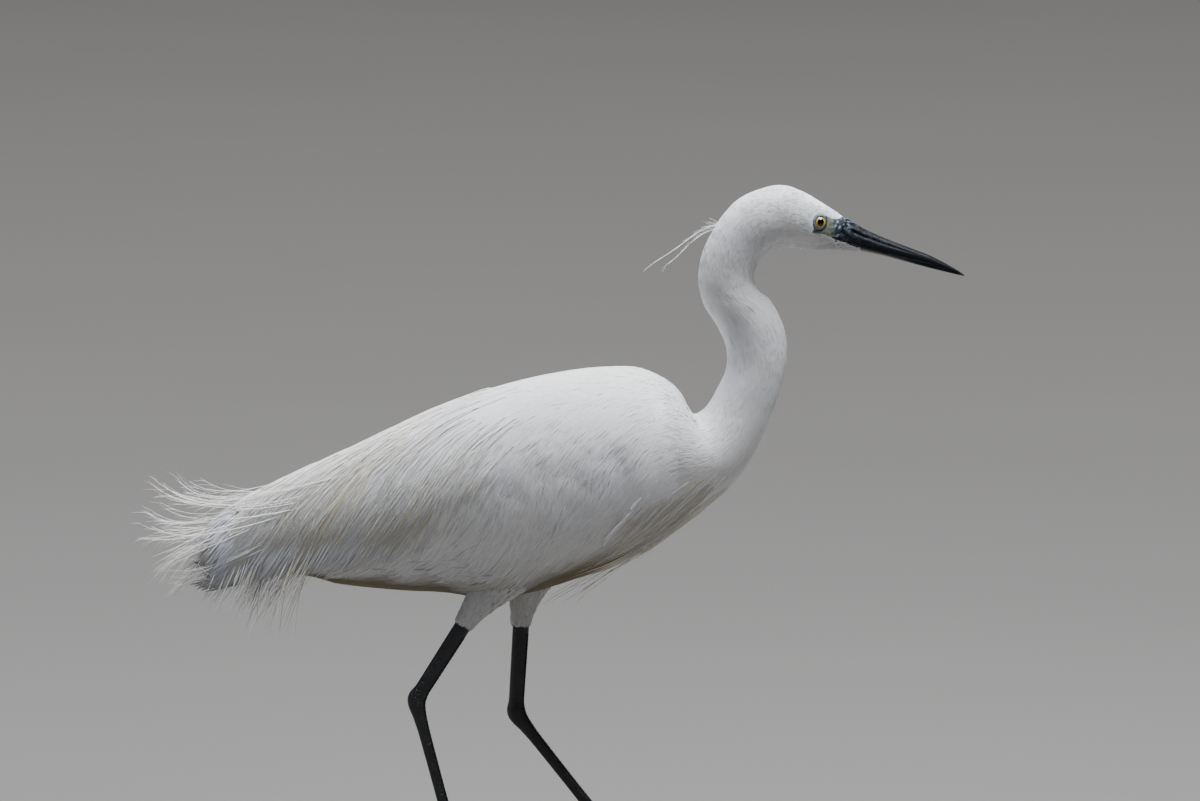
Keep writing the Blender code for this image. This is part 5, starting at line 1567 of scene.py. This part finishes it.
def bill_rings(upper):
    """Rings of one mandible from inside the face to the tip, with the share and height its horn reads."""
    share = np.concatenate([[-0.05, -0.02], np.linspace(0, 1, BILL_STEPS)])
    top, mouth, under, wide = (
        np.convolve(np.pad(row, 3, mode="reflect", reflect_type="odd"), BILL_BLUR, "valid")
        for row in bill_sizes(share))
    edge = mouth + (BILL_GAP if upper else -BILL_GAP)
    crest = top if upper else under
    angle = np.pi * np.arange(BILL_SIDES + 1) / BILL_SIDES
    height = np.sin(angle) ** BILL_ARCH
    z = edge[:, None] + (crest - edge)[:, None] * height
    y = wide[:, None] * np.cos(angle)
    if upper:
        groove = np.exp(-(((height - GROOVE_HEIGHT) / 0.10) ** 2))
        deep = 0.75 * smooth(share, 0.03, 0.1) * (1 - smooth(share, 0.3, 0.7))
        slit = np.exp(-(((height - GROOVE_HEIGHT) / 0.045) ** 2))
        cut = 1.2 * smooth(share, 0.08, 0.11) * (1 - smooth(share, 0.2, 0.24))
        y = y * (1 - (deep[:, None] * groove + cut[:, None] * slit) / np.maximum(wide[:, None], 1.5))
    rings = np.stack([bill_x(share[:, None], z), y, z], -1)
    if not upper:
        rings = rings[:, ::-1]
    return rings, {"share": np.repeat(share, BILL_SIDES + 1), "height": np.tile(height, len(share))}


def make_bill():
    """Both mandibles, with the nostril's slit and groove."""
    colours, _, _ = chosen()
    for word in ("upper", "lower"):
        rings, values = bill_rings(word == "upper")
        points, faces = ringed(rings)
        values = {key: np.concatenate([v, [v[0], v[-1]]]) for key, v in values.items()}
        horn = horn_material(word + " bill horn", colours, word == "lower")
        piece = solid("horn_" + word, points, faces, horn, None, values, slot="bill_horn")
        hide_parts("bill_" + word)
        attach(piece, "root")


# The lids' ring from its wall at the ball over the rim and down under the feathers: share of the way from the
# opening to the ring's outer edge, and height over the ball's middle
LID_ROWS = np.array([
    (-0.03, 3.2),
    (0.0, 4.2),
    (0.1, 4.55),
    (0.25, 4.62),
    (0.4, 4.4),
    (0.55, 4.32),
    (0.75, 4.15),
    (1.0, 3.4),
    (1.15, 2.4),
    (1.1, 0.8),
    (0.5, 0.2),
    (0.1, 1.2),
])


EYE_SIDES = 64
CORNEA = 0.05  # how much the cornea bulges, as a share of the ball's radius


def make_eyes():
    """Both eyeballs with pupil and iris, and the bare lids round them."""
    for side, word in ((-1, "right"), (1, "left")):
        middle, look = eye_place(side)
        across, up = eye_axes(look)
        facing = 1 if np.dot(np.cross(across, up), look) > 0 else -1
        make_eyeball(word, middle, look, across * facing, up)
        make_lids(word, middle, look, across * facing, up, facing)


def make_eyeball(word, middle, look, across, up):
    """A ball with a bulging cornea, which carries how far each point lies from the pupil's middle."""
    colours, _, _ = chosen()
    eye = material_once("wet cornea over yellow iris", eye_material, colours)
    rise = np.linspace(0, math.pi, 50)[1:-1]
    angle = 2 * math.pi * np.arange(EYE_SIDES) / EYE_SIDES
    radius = EYE_RADIUS * (1 + CORNEA * np.exp(-((rise / 0.45) ** 2)))
    ring = (across * np.cos(angle)[:, None] + up * np.sin(angle)[:, None])[None]
    points = middle + look * (radius * np.cos(rise))[:, None, None]
    points, faces = ringed(points + ring * (radius * np.sin(rise))[:, None, None])
    points[-2], points[-1] = middle + look * EYE_RADIUS * (1 + CORNEA), middle - look * EYE_RADIUS
    tall = np.hypot(np.cos(angle) / LID_OPENING[0], np.sin(angle) / LID_OPENING[1])
    radial = (radius * np.sin(rise))[:, None] * tall * 0.62
    radial = np.where(np.cos(rise)[:, None] > 0, radial, 2.0)
    spoke = np.broadcast_to(8 * np.abs(np.sin(angle * 3.5)), radial.shape)
    values = {"ring": np.concatenate([radial.ravel(), [0, 2]]),
              "spoke": np.concatenate([spoke.ravel(), [0, 0]])}
    ball = solid("eyeball_" + word, points, faces, eye, None, values, slot="iris")
    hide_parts("eye_" + word)
    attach(ball, "root")


def make_lids(word, middle, look, across, up, facing):
    """The bare ring of an eye's lids, a closed band with a slightly wavy rim."""
    lid = material_once("bare slate lid skin", lid_material)
    angle = 2 * math.pi * np.arange(EYE_SIDES) / EYE_SIDES
    share, height = LID_ROWS[:, :1, None], LID_ROWS[:, 1:, None]
    inner = across * (np.cos(angle) * LID_OPENING[0])[:, None]
    inner = inner + up * (np.sin(angle) * LID_OPENING[1])[:, None]
    outer = across * (LID_RING[0] * facing + np.cos(angle) * LID_RING[2])[:, None]
    outer = outer + up * (LID_RING[1] + np.sin(angle) * LID_RING[3])[:, None]
    wave = 0.06 * np.sin(angle * 9)[None, :, None] * np.sin(math.pi * share.clip(0, 1))
    rings = middle + inner * (1 - share) + outer * share + look * (height + wave)
    r, k = np.meshgrid(np.arange(len(LID_ROWS)), np.arange(EYE_SIDES), indexing="ij")
    n, s = (k + 1) % EYE_SIDES, (r + 1) % len(LID_ROWS)
    corners = [row * EYE_SIDES + column for row, column in ((r, k), (s, k), (s, n), (r, n))]
    piece = solid("lids_" + word, rings.reshape(-1, 3), np.stack(corners, -1).reshape(-1, 4), lid)
    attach(piece, "root")


# Legs


def tube_rings(path, sizes, sides):
    """Rings round a path of points, with half widths across and along its own rise."""
    path, sizes = np.asarray(path, float), np.asarray(sizes, float)
    way = np.stack([unit(path[min(i + 1, len(path) - 1)] - path[max(i - 1, 0)]) for i in range(len(path))])
    across = unit(np.cross(way, (1.0, 0, 0) if abs(way[0][2]) > 0.5 else (0, 0, 1.0)))
    return ring_points(path, sizes, across, np.cross(across, way), sides)


def finer(rows, count):
    """Rows resampled on a smooth curve through them."""
    rows = np.asarray(rows, float)
    steps = np.concatenate([[0], np.cumsum(np.linalg.norm(np.diff(rows[:, :3], axis=0), axis=1))])
    where = np.linspace(0, steps[-1], count)
    plain = np.stack([np.interp(where, steps, rows[:, c]) for c in range(rows.shape[1])], -1)
    for _ in range(2):
        plain[1:-1] = (plain[:-2] + 2 * plain[1:-1] + plain[2:]) / 4
    return plain


def leg_lines(which):
    """The leg's middle line with its half widths, and its toes' lines."""
    data = LEGS[which]
    bare, ankle = leg_points(which)
    sole = np.array([data["foot_x"], data["side"] * LEG_SPREAD, 0.0])
    foot = sole + np.array([0, 0, TARSUS_END_HEIGHT])
    along = unit(ankle - bare)
    end = foot + UPRIGHT_END
    down = unit(end - ankle)
    upper = ankle - along * KNUCKLE
    path = [bare - along * 6.0, bare, upper, upper + along * 3, ankle - along]
    path += [ankle + down * 3.5, ankle + down * 9]
    path += [ankle + (end - ankle) * s for s in np.linspace(0.2, 1, 5)] + [foot, sole + 3.0 * SKY]
    sizes = [(4.3, 5.2), *TIBIA_ENDS, *TARSUS_SIZES[1:], (4.6, 4.6)]
    line = finer(np.concatenate([np.array(path), np.array(sizes)], 1), 120)
    toes = []
    for _, spread, length, claw, radius in TOES:
        heading = math.radians(spread * data["side"])
        way = np.array([math.cos(heading), math.sin(heading), 0.0])
        share = np.linspace(0, 1.02, 50)
        swell = 0.5 + 0.5 * np.cos(2 * math.pi * TOE_PADS * share)
        thick = radius * (1 - TOE_TAPER * share) * (0.84 + 0.16 * swell)
        mid = sole + way * (length * share)[:, None] + SKY * (thick - SOLE_SINK)[:, None]
        toes.append((mid, thick, way, length, claw, radius))
    return line, toes, sole


def dark_leg(colours):
    """Black leg skin with small close scales."""
    return material_once("black scaly leg", scute_material, colours.leg, hex_colour("#26272A"), 1.6)


def yellow_toe(colours):
    """Yellow toe skin, its scales a little smaller."""
    return material_once("yellow scaly toe", scute_material, colours.foot, hex_colour("#8C8128"), 1.3)


LEG_SIDES, TOE_SIDES, CLAW_SIDES = 28, 20, 14
LEG_GRAIN = 0.5  # millimetres between the points of the fused leg
TOES_TOP = 0.0115  # metres over the floor where the yellow of the toes ends
FOOT_BALL, FOOT_BALL_HEIGHT = (6.0, 5.2, 3.8), 3.2  # half axes of the pad where the toes meet


def make_legs():
    """Each bare leg as one scaly skin from the thigh to the toes, and its claws."""
    colours, _, _ = chosen()
    near_black, worn = hex_colour("#141414"), hex_colour("#2A2826")
    claw_horn = material_once("black claw horn", scute_material, near_black, worn, 6.0)
    for which in LEGS:
        line, toes, sole = leg_lines(which)
        parts = [ringed(tube_rings(line[:, :3], line[:, 3:], LEG_SIDES))]
        parts += [ringed(tube_rings(mid, np.stack([thick, thick], -1), TOE_SIDES)) for mid, thick, *_ in toes]
        rise = np.linspace(0.02, math.pi - 0.02, 16)[:, None]
        turn = -2 * np.pi * np.arange(24) / 24
        ball = [np.sin(rise) * np.cos(turn), np.sin(rise) * np.sin(turn), -np.cos(rise) + 0 * turn]
        ball = np.stack(ball, -1) * FOOT_BALL + sole + FOOT_BALL_HEIGHT * SKY
        parts.append(ringed(ball))
        piece = fused_leg("leg_" + which, *gathered(parts), dark_leg(colours), yellow_toe(colours))
        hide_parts("tibia_" + which, "tarsus_" + which, "foot_" + which)
        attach(piece, "root")
        claws = [ringed(claw_rings(sole, *toe[2:])) for toe in toes]
        piece = solid("claws_" + which, *gathered(claws), claw_horn, slot="claw_horn")
        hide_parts(*[f"claw_{which}_{row[0]}" for row in TOES])
        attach(piece, "root")


def fused_leg(name, points, faces, dark, yellow):
    """A leg's crossing bodies as one skin, level under its soles, dark above and yellow below."""
    points[:, 2] = np.maximum(points[:, 2], 0.0)
    piece = solid(name, points, faces, dark, slot="leg_scutes")
    step = piece.modifiers.new("fuse", "REMESH")
    step.mode, step.voxel_size, step.use_smooth_shade = "VOXEL", LEG_GRAIN * MM, True
    graph = bpy.context.evaluated_depsgraph_get()
    piece.data = bpy.data.meshes.new_from_object(piece.evaluated_get(graph))
    piece.modifiers.clear()
    mesh = piece.data
    co = np.zeros(len(mesh.vertices) * 3, np.float32)
    mesh.vertices.foreach_get("co", co)
    co = co.reshape(-1, 3)
    co[:, 2] = np.maximum(co[:, 2], 0.0)
    mesh.vertices.foreach_set("co", co.ravel())
    mesh.materials.clear()
    mesh.materials.append(dark)
    mesh.materials.append(yellow)
    low = np.array([co[list(face.vertices)][:, 2].mean() < TOES_TOP for face in mesh.polygons])
    mesh.polygons.foreach_set("material_index", low.astype(np.int32))
    mesh.shade_smooth()
    return piece


def claw_rings(sole, way, length, claw, radius):
    """Rings of one claw, which leaves the toe's end and curves down to its point."""
    base = radius * (1 - TOE_TAPER)
    share = np.linspace(0, 1, 24)
    fat = np.maximum(base * 0.8 * (1 - share**1.3), 0.15)
    rise = base * 1.15 + 0.10 * claw * np.sin(math.pi * np.minimum(share * 1.3, 1.0))
    height = np.maximum(rise * (1 - share**2.2), fat + 0.05)
    path = sole + way * (length - 0.8 + (claw + 1.1) * share)[:, None] + SKY * height[:, None]
    return tube_rings(path, np.stack([fat * 0.75, fat], -1), CLAW_SIDES)


def scute_tree():
    """Nodes that lay one raised scale after another along lines, as wide as a line's half_width says."""
    tree = bpy.data.node_groups.new("scales along a line", "GeometryNodeTree")
    tree.interface.new_socket("Line", in_out="INPUT", socket_type="NodeSocketGeometry")
    for name in ("Spacing", "Half length", "Half thickness"):
        tree.interface.new_socket(name, in_out="INPUT", socket_type="NodeSocketFloat")
    tree.interface.new_socket("Finish", in_out="INPUT", socket_type="NodeSocketMaterial")
    tree.interface.new_socket("Scales", in_out="OUTPUT", socket_type="NodeSocketGeometry")
    given = tree.nodes.new("NodeGroupInput").outputs
    curve = add(tree, "GeometryNodeMeshToCurve", {"Mesh": given["Line"]})
    even = add(tree, "GeometryNodeResampleCurve", {"Curve": curve, "Length": given["Spacing"]}, mode="LENGTH")
    wide = add(tree, "GeometryNodeInputNamedAttribute", {"Name": "half_width"}, "Attribute",
               data_type="FLOAT")
    side = add(tree, "GeometryNodeInputNamedAttribute", {"Name": "sideways"}, "Attribute",
               data_type="FLOAT_VECTOR")
    tangent = add(tree, "GeometryNodeInputTangent")
    along = add(tree, "FunctionNodeAlignRotationToVector", {"Vector": tangent}, axis="Z")
    across = add(tree, "FunctionNodeAlignRotationToVector", {"Rotation": along, "Vector": side},
                 axis="X", pivot_axis="Z")
    size = add(tree, "CombineXYZ", {"X": wide, "Y": given["Half thickness"],
                                    "Z": given["Half length"]})
    ball = add(tree, "GeometryNodeMeshIcoSphere", {"Radius": 1.0, "Subdivisions": 2})
    scales = add(tree, "GeometryNodeInstanceOnPoints",
                 {"Points": even, "Instance": ball, "Rotation": across, "Scale": size})
    real = add(tree, "GeometryNodeRealizeInstances", {"Geometry": scales})
    done = add(tree, "GeometryNodeSetMaterial", {"Geometry": real, "Material": given["Finish"]})
    tree.links.new(done, tree.nodes.new("NodeGroupOutput").inputs["Scales"])
    return tree


def lay_scales(name, tree, lines, spacing, thickness, finish):
    """A piece of raised scales along lines of (points, half widths, sideways direction), in millimetres."""
    mesh = bpy.data.meshes.new(name)
    points = np.concatenate([line for line, _, _ in lines])
    count, edges = 0, []
    for line, _, _ in lines:
        edges += [(count + i, count + i + 1) for i in range(len(line) - 1)]
        count += len(line)
    mesh.from_pydata([tuple(p) for p in (points + SHIFT) * MM], edges, [])
    wide = mesh.attributes.new("half_width", "FLOAT", "POINT")
    wide.data.foreach_set("value", (np.concatenate([w for _, w, _ in lines]) * MM).astype(np.float32))
    side = mesh.attributes.new("sideways", "FLOAT_VECTOR", "POINT")
    ways = np.concatenate([np.broadcast_to(way, line.shape) for line, _, way in lines])
    side.data.foreach_set("vector", ways.astype(np.float32).ravel())
    made = bpy.data.objects.new(name, mesh)
    bpy.context.scene.collection.objects.link(made)
    step = made.modifiers.new("scales", "NODES")
    step.node_group = tree
    given = {
        "Spacing": spacing * MM,
        "Half length": SCUTE_OVERLAP * spacing * MM,
        "Half thickness": thickness * MM,
        "Finish": finish,
    }
    for item in tree.interface.items_tree:
        if item.item_type == "SOCKET" and item.in_out == "INPUT" and item.name in given:
            step[item.identifier] = given[item.name]
    graph = bpy.context.evaluated_depsgraph_get()
    made.data = bpy.data.meshes.new_from_object(made.evaluated_get(graph))
    made.modifiers.clear()
    made.data.shade_smooth()
    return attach(made, "root")


SCUTE_OVERLAP = 0.6  # half of a scale's length as a share of their spacing, so that each laps the next
# How deep a leg's and a toe's scales lie, how wide they are against it, and half of their thickness
LEG_SCUTES, TOE_SCUTES = (0.24, 0.74, 0.34), (0.25, 0.62, 0.45)
TOE_SPACING = 0.8  # a share of the leg's


def make_scutes():
    """The large scales down the front of each leg and along the top of each toe."""
    colours, sizes, _ = chosen()
    tree = scute_tree()
    spacing = sizes.scute / MM
    for which in LEGS:
        line, toes, _ = leg_lines(which)
        way = unit(np.gradient(line[:, :3], axis=0))
        front = np.stack([-way[:, 2], 0 * way[:, 0], way[:, 0]], -1)
        deep, wide, thick = LEG_SCUTES
        path = line[:, :3] + front * (line[:, 4:5] - deep)
        good = (line[:, 2] > 14.0) & (line[:, 2] < LEGS[which]["bare"][1] - 7.0)
        rows = [(path[good], line[good, 3] * wide, np.array([0.0, 1.0, 0.0]))]
        lay_scales("scutes_leg_" + which, tree, rows, spacing, thick, dark_leg(colours))
        deep, wide, thick = TOE_SCUTES
        top = slice(8, 48)
        rows = [(mid[top] + SKY * (fat[top, None] - deep), fat[top] * wide, np.cross(SKY, heading))
                for mid, fat, heading, *_ in toes]
        lay_scales("scutes_toes_" + which, tree, rows, spacing * TOE_SPACING, thick,
                   yellow_toe(colours))


# Stage

PHOTO_WIDTH = 1200  # pixels
MM_PER_PIXEL = 0.627  # at the bird's middle plane
VIEW_MIDDLE = np.array([31.7, 0.0, 288.7])  # the middle of the photograph's frame
VIEW_ELEVATION, VIEW_DISTANCE = 7.5, 9.0  # degrees, metres
SENSOR_WIDTH = 36.0
FLOOR_HALF = 40.0


# The lamps: name, place in metres, width, power and colour
LAMPS = (
    ("key", (0.45, -0.22, 1.60), 0.8, 31.0, "#F6F9FF"),
    ("fill", (-2.4, -1.2, 1.3), 1.6, 5.0, "#D9E4FA"),
    ("rear", (-1.5, 0.25, 1.2), 1.0, 9.0, "#EAF0FA"),
    ("ceiling", (0.03, 1.6, 8.0), 6.0, 1060.0, "#FBFCFF"),
)
LAMPS_TARGET = Vector((0.03, 0.0, 0.27))
AIR_COLOUR, AIR_STRENGTH = "#DCE3EE", 0.08


def make_stage():
    """Plain pale floor, soft lights, and the long-lens camera of the photograph."""
    colours, _, _ = chosen()
    # Matt painted board: no gloss, only a faint unevenness of its tone
    material, tree, shader = new_material("matt studio floor", 0.9)
    place = add(tree, "TexCoord", out="Object")
    grain = add(tree, "TexNoise", {"Vector": place, "Scale": PER_METRE / FLOOR_PATCH_SIZE,
                                   "Detail": 4.0})
    darker = tuple(c * 0.94 for c in colours.floor[:3]) + (1.0,)
    colour = add(tree, "Mix", {0: grain, 6: tuple(colours.floor), 7: darker}, 2, data_type="RGBA")
    tree.links.new(colour, shader.inputs["Base Color"])
    mesh = bpy.data.meshes.new("floor")
    far = FLOOR_HALF
    mesh.from_pydata([(-far, -far, 0), (far, -far, 0), (far, far, 0), (-far, far, 0)], [], [(0, 1, 2, 3)])
    mesh.materials.append(material)
    floor = bpy.data.objects.new("floor", mesh)
    bpy.context.scene.collection.objects.link(floor)

    world = bpy.data.worlds.new("studio air")
    world.use_nodes = True
    back = world.node_tree.nodes["Background"]
    back.inputs["Color"].default_value = hex_colour(AIR_COLOUR)
    back.inputs["Strength"].default_value = AIR_STRENGTH
    bpy.context.scene.world = world
    for name, place, size, power, colour in LAMPS:
        light = bpy.data.lights.new(name, "AREA")
        light.shape, light.size, light.energy = "DISK", size, power
        light.color = hex_colour(colour)[:3]
        lamp = bpy.data.objects.new(name, light)
        lamp.location = place
        lamp.rotation_euler = (LAMPS_TARGET - Vector(place)).to_track_quat("-Z", "Y").to_euler()
        bpy.context.scene.collection.objects.link(lamp)

    camera = bpy.data.cameras.new("long lens")
    tilt = math.radians(VIEW_ELEVATION)
    middle = Vector((VIEW_MIDDLE + SHIFT) * MM)
    seat = middle + Vector((0.0, -math.cos(tilt), math.sin(tilt))) * VIEW_DISTANCE
    camera.sensor_fit = "HORIZONTAL"
    camera.sensor_width = SENSOR_WIDTH
    camera.lens = SENSOR_WIDTH * VIEW_DISTANCE / (PHOTO_WIDTH * MM_PER_PIXEL * MM)
    camera.clip_end = 100.0
    view = bpy.data.objects.new("camera", camera)
    view.location = seat
    view.rotation_euler = (middle - seat).to_track_quat("-Z", "Y").to_euler()
    bpy.context.scene.collection.objects.link(view)
    bpy.context.scene.camera = view


# Operators, panel and run


class EGRET_OT_skin(bpy.types.Operator):
    """One skin from tail to bill with both thighs"""

    bl_idname = "egret.skin"
    bl_label = "Skin"

    def execute(self, context):
        make_skin()
        return {"FINISHED"}


class EGRET_OT_coat(bpy.types.Operator):
    """The small feathers all over the bird."""

    bl_idname = "egret.coat"
    bl_label = "Small feathers"

    def execute(self, context):
        make_coat()
        make_notch_coat()
        make_chin_coat()
        make_thigh_coat()
        return {"FINISHED"}


class EGRET_OT_vanes(bpy.types.Operator):
    """Wing and tail feathers."""

    bl_idname = "egret.vanes"
    bl_label = "Wing and tail feathers"

    def execute(self, context):
        make_wings()
        make_tail()
        return {"FINISHED"}


class EGRET_OT_plumes(bpy.types.Operator):
    """Back, breast and nape plumes."""

    bl_idname = "egret.plumes"
    bl_label = "Plumes"

    def execute(self, context):
        make_cloak()
        make_strands()
        make_breast_plumes()
        make_nape_plumes()
        return {"FINISHED"}


class EGRET_OT_head(bpy.types.Operator):
    """Bill, eyes and lids."""

    bl_idname = "egret.head"
    bl_label = "Bill and eyes"

    def execute(self, context):
        make_bill()
        make_eyes()
        return {"FINISHED"}


class EGRET_OT_legs(bpy.types.Operator):
    """Bare legs, toes and claws."""

    bl_idname = "egret.legs"
    bl_label = "Legs"

    def execute(self, context):
        make_legs()
        make_scutes()
        return {"FINISHED"}


class EGRET_OT_stage(bpy.types.Operator):
    """Floor, lights and camera."""

    bl_idname = "egret.stage"
    bl_label = "Stage"

    def execute(self, context):
        make_stage()
        return {"FINISHED"}


OPERATORS = (EGRET_OT_skin, EGRET_OT_coat, EGRET_OT_vanes, EGRET_OT_plumes, EGRET_OT_head, EGRET_OT_legs,
             EGRET_OT_stage)


class EGRET_PT_panel(bpy.types.Panel):
    """Lists the bird's settings and steps."""

    bl_label = "Egret"
    bl_idname = "EGRET_PT_panel"
    bl_space_type = "VIEW_3D"
    bl_region_type = "UI"
    bl_category = "Egret"

    def draw(self, context):
        """Shows the settings and the steps that build the model."""
        for group in (context.scene.egret_sizes, context.scene.egret_colours):
            for name in group.__annotations__:
                self.layout.prop(group, name)
        for step in OPERATORS:
            self.layout.operator(step.bl_idname)


CLASSES = (EgretColours, EgretSizes, *OPERATORS, EGRET_PT_panel)


def register():
    """Makes the classes and the settings known to Blender."""
    for part in CLASSES:
        bpy.utils.register_class(part)
    bpy.types.Scene.egret_colours = bpy.props.PointerProperty(type=EgretColours)
    bpy.types.Scene.egret_sizes = bpy.props.PointerProperty(type=EgretSizes)


def unregister():
    """Takes the settings and the classes away again."""
    del bpy.types.Scene.egret_colours
    del bpy.types.Scene.egret_sizes
    for part in reversed(CLASSES):
        bpy.utils.unregister_class(part)


def main():
    """Builds every piece in order."""
    register()
    for step in OPERATORS:
        getattr(bpy.ops.egret, step.bl_idname.split(".")[1])()


if __name__ == "__main__":
    main()
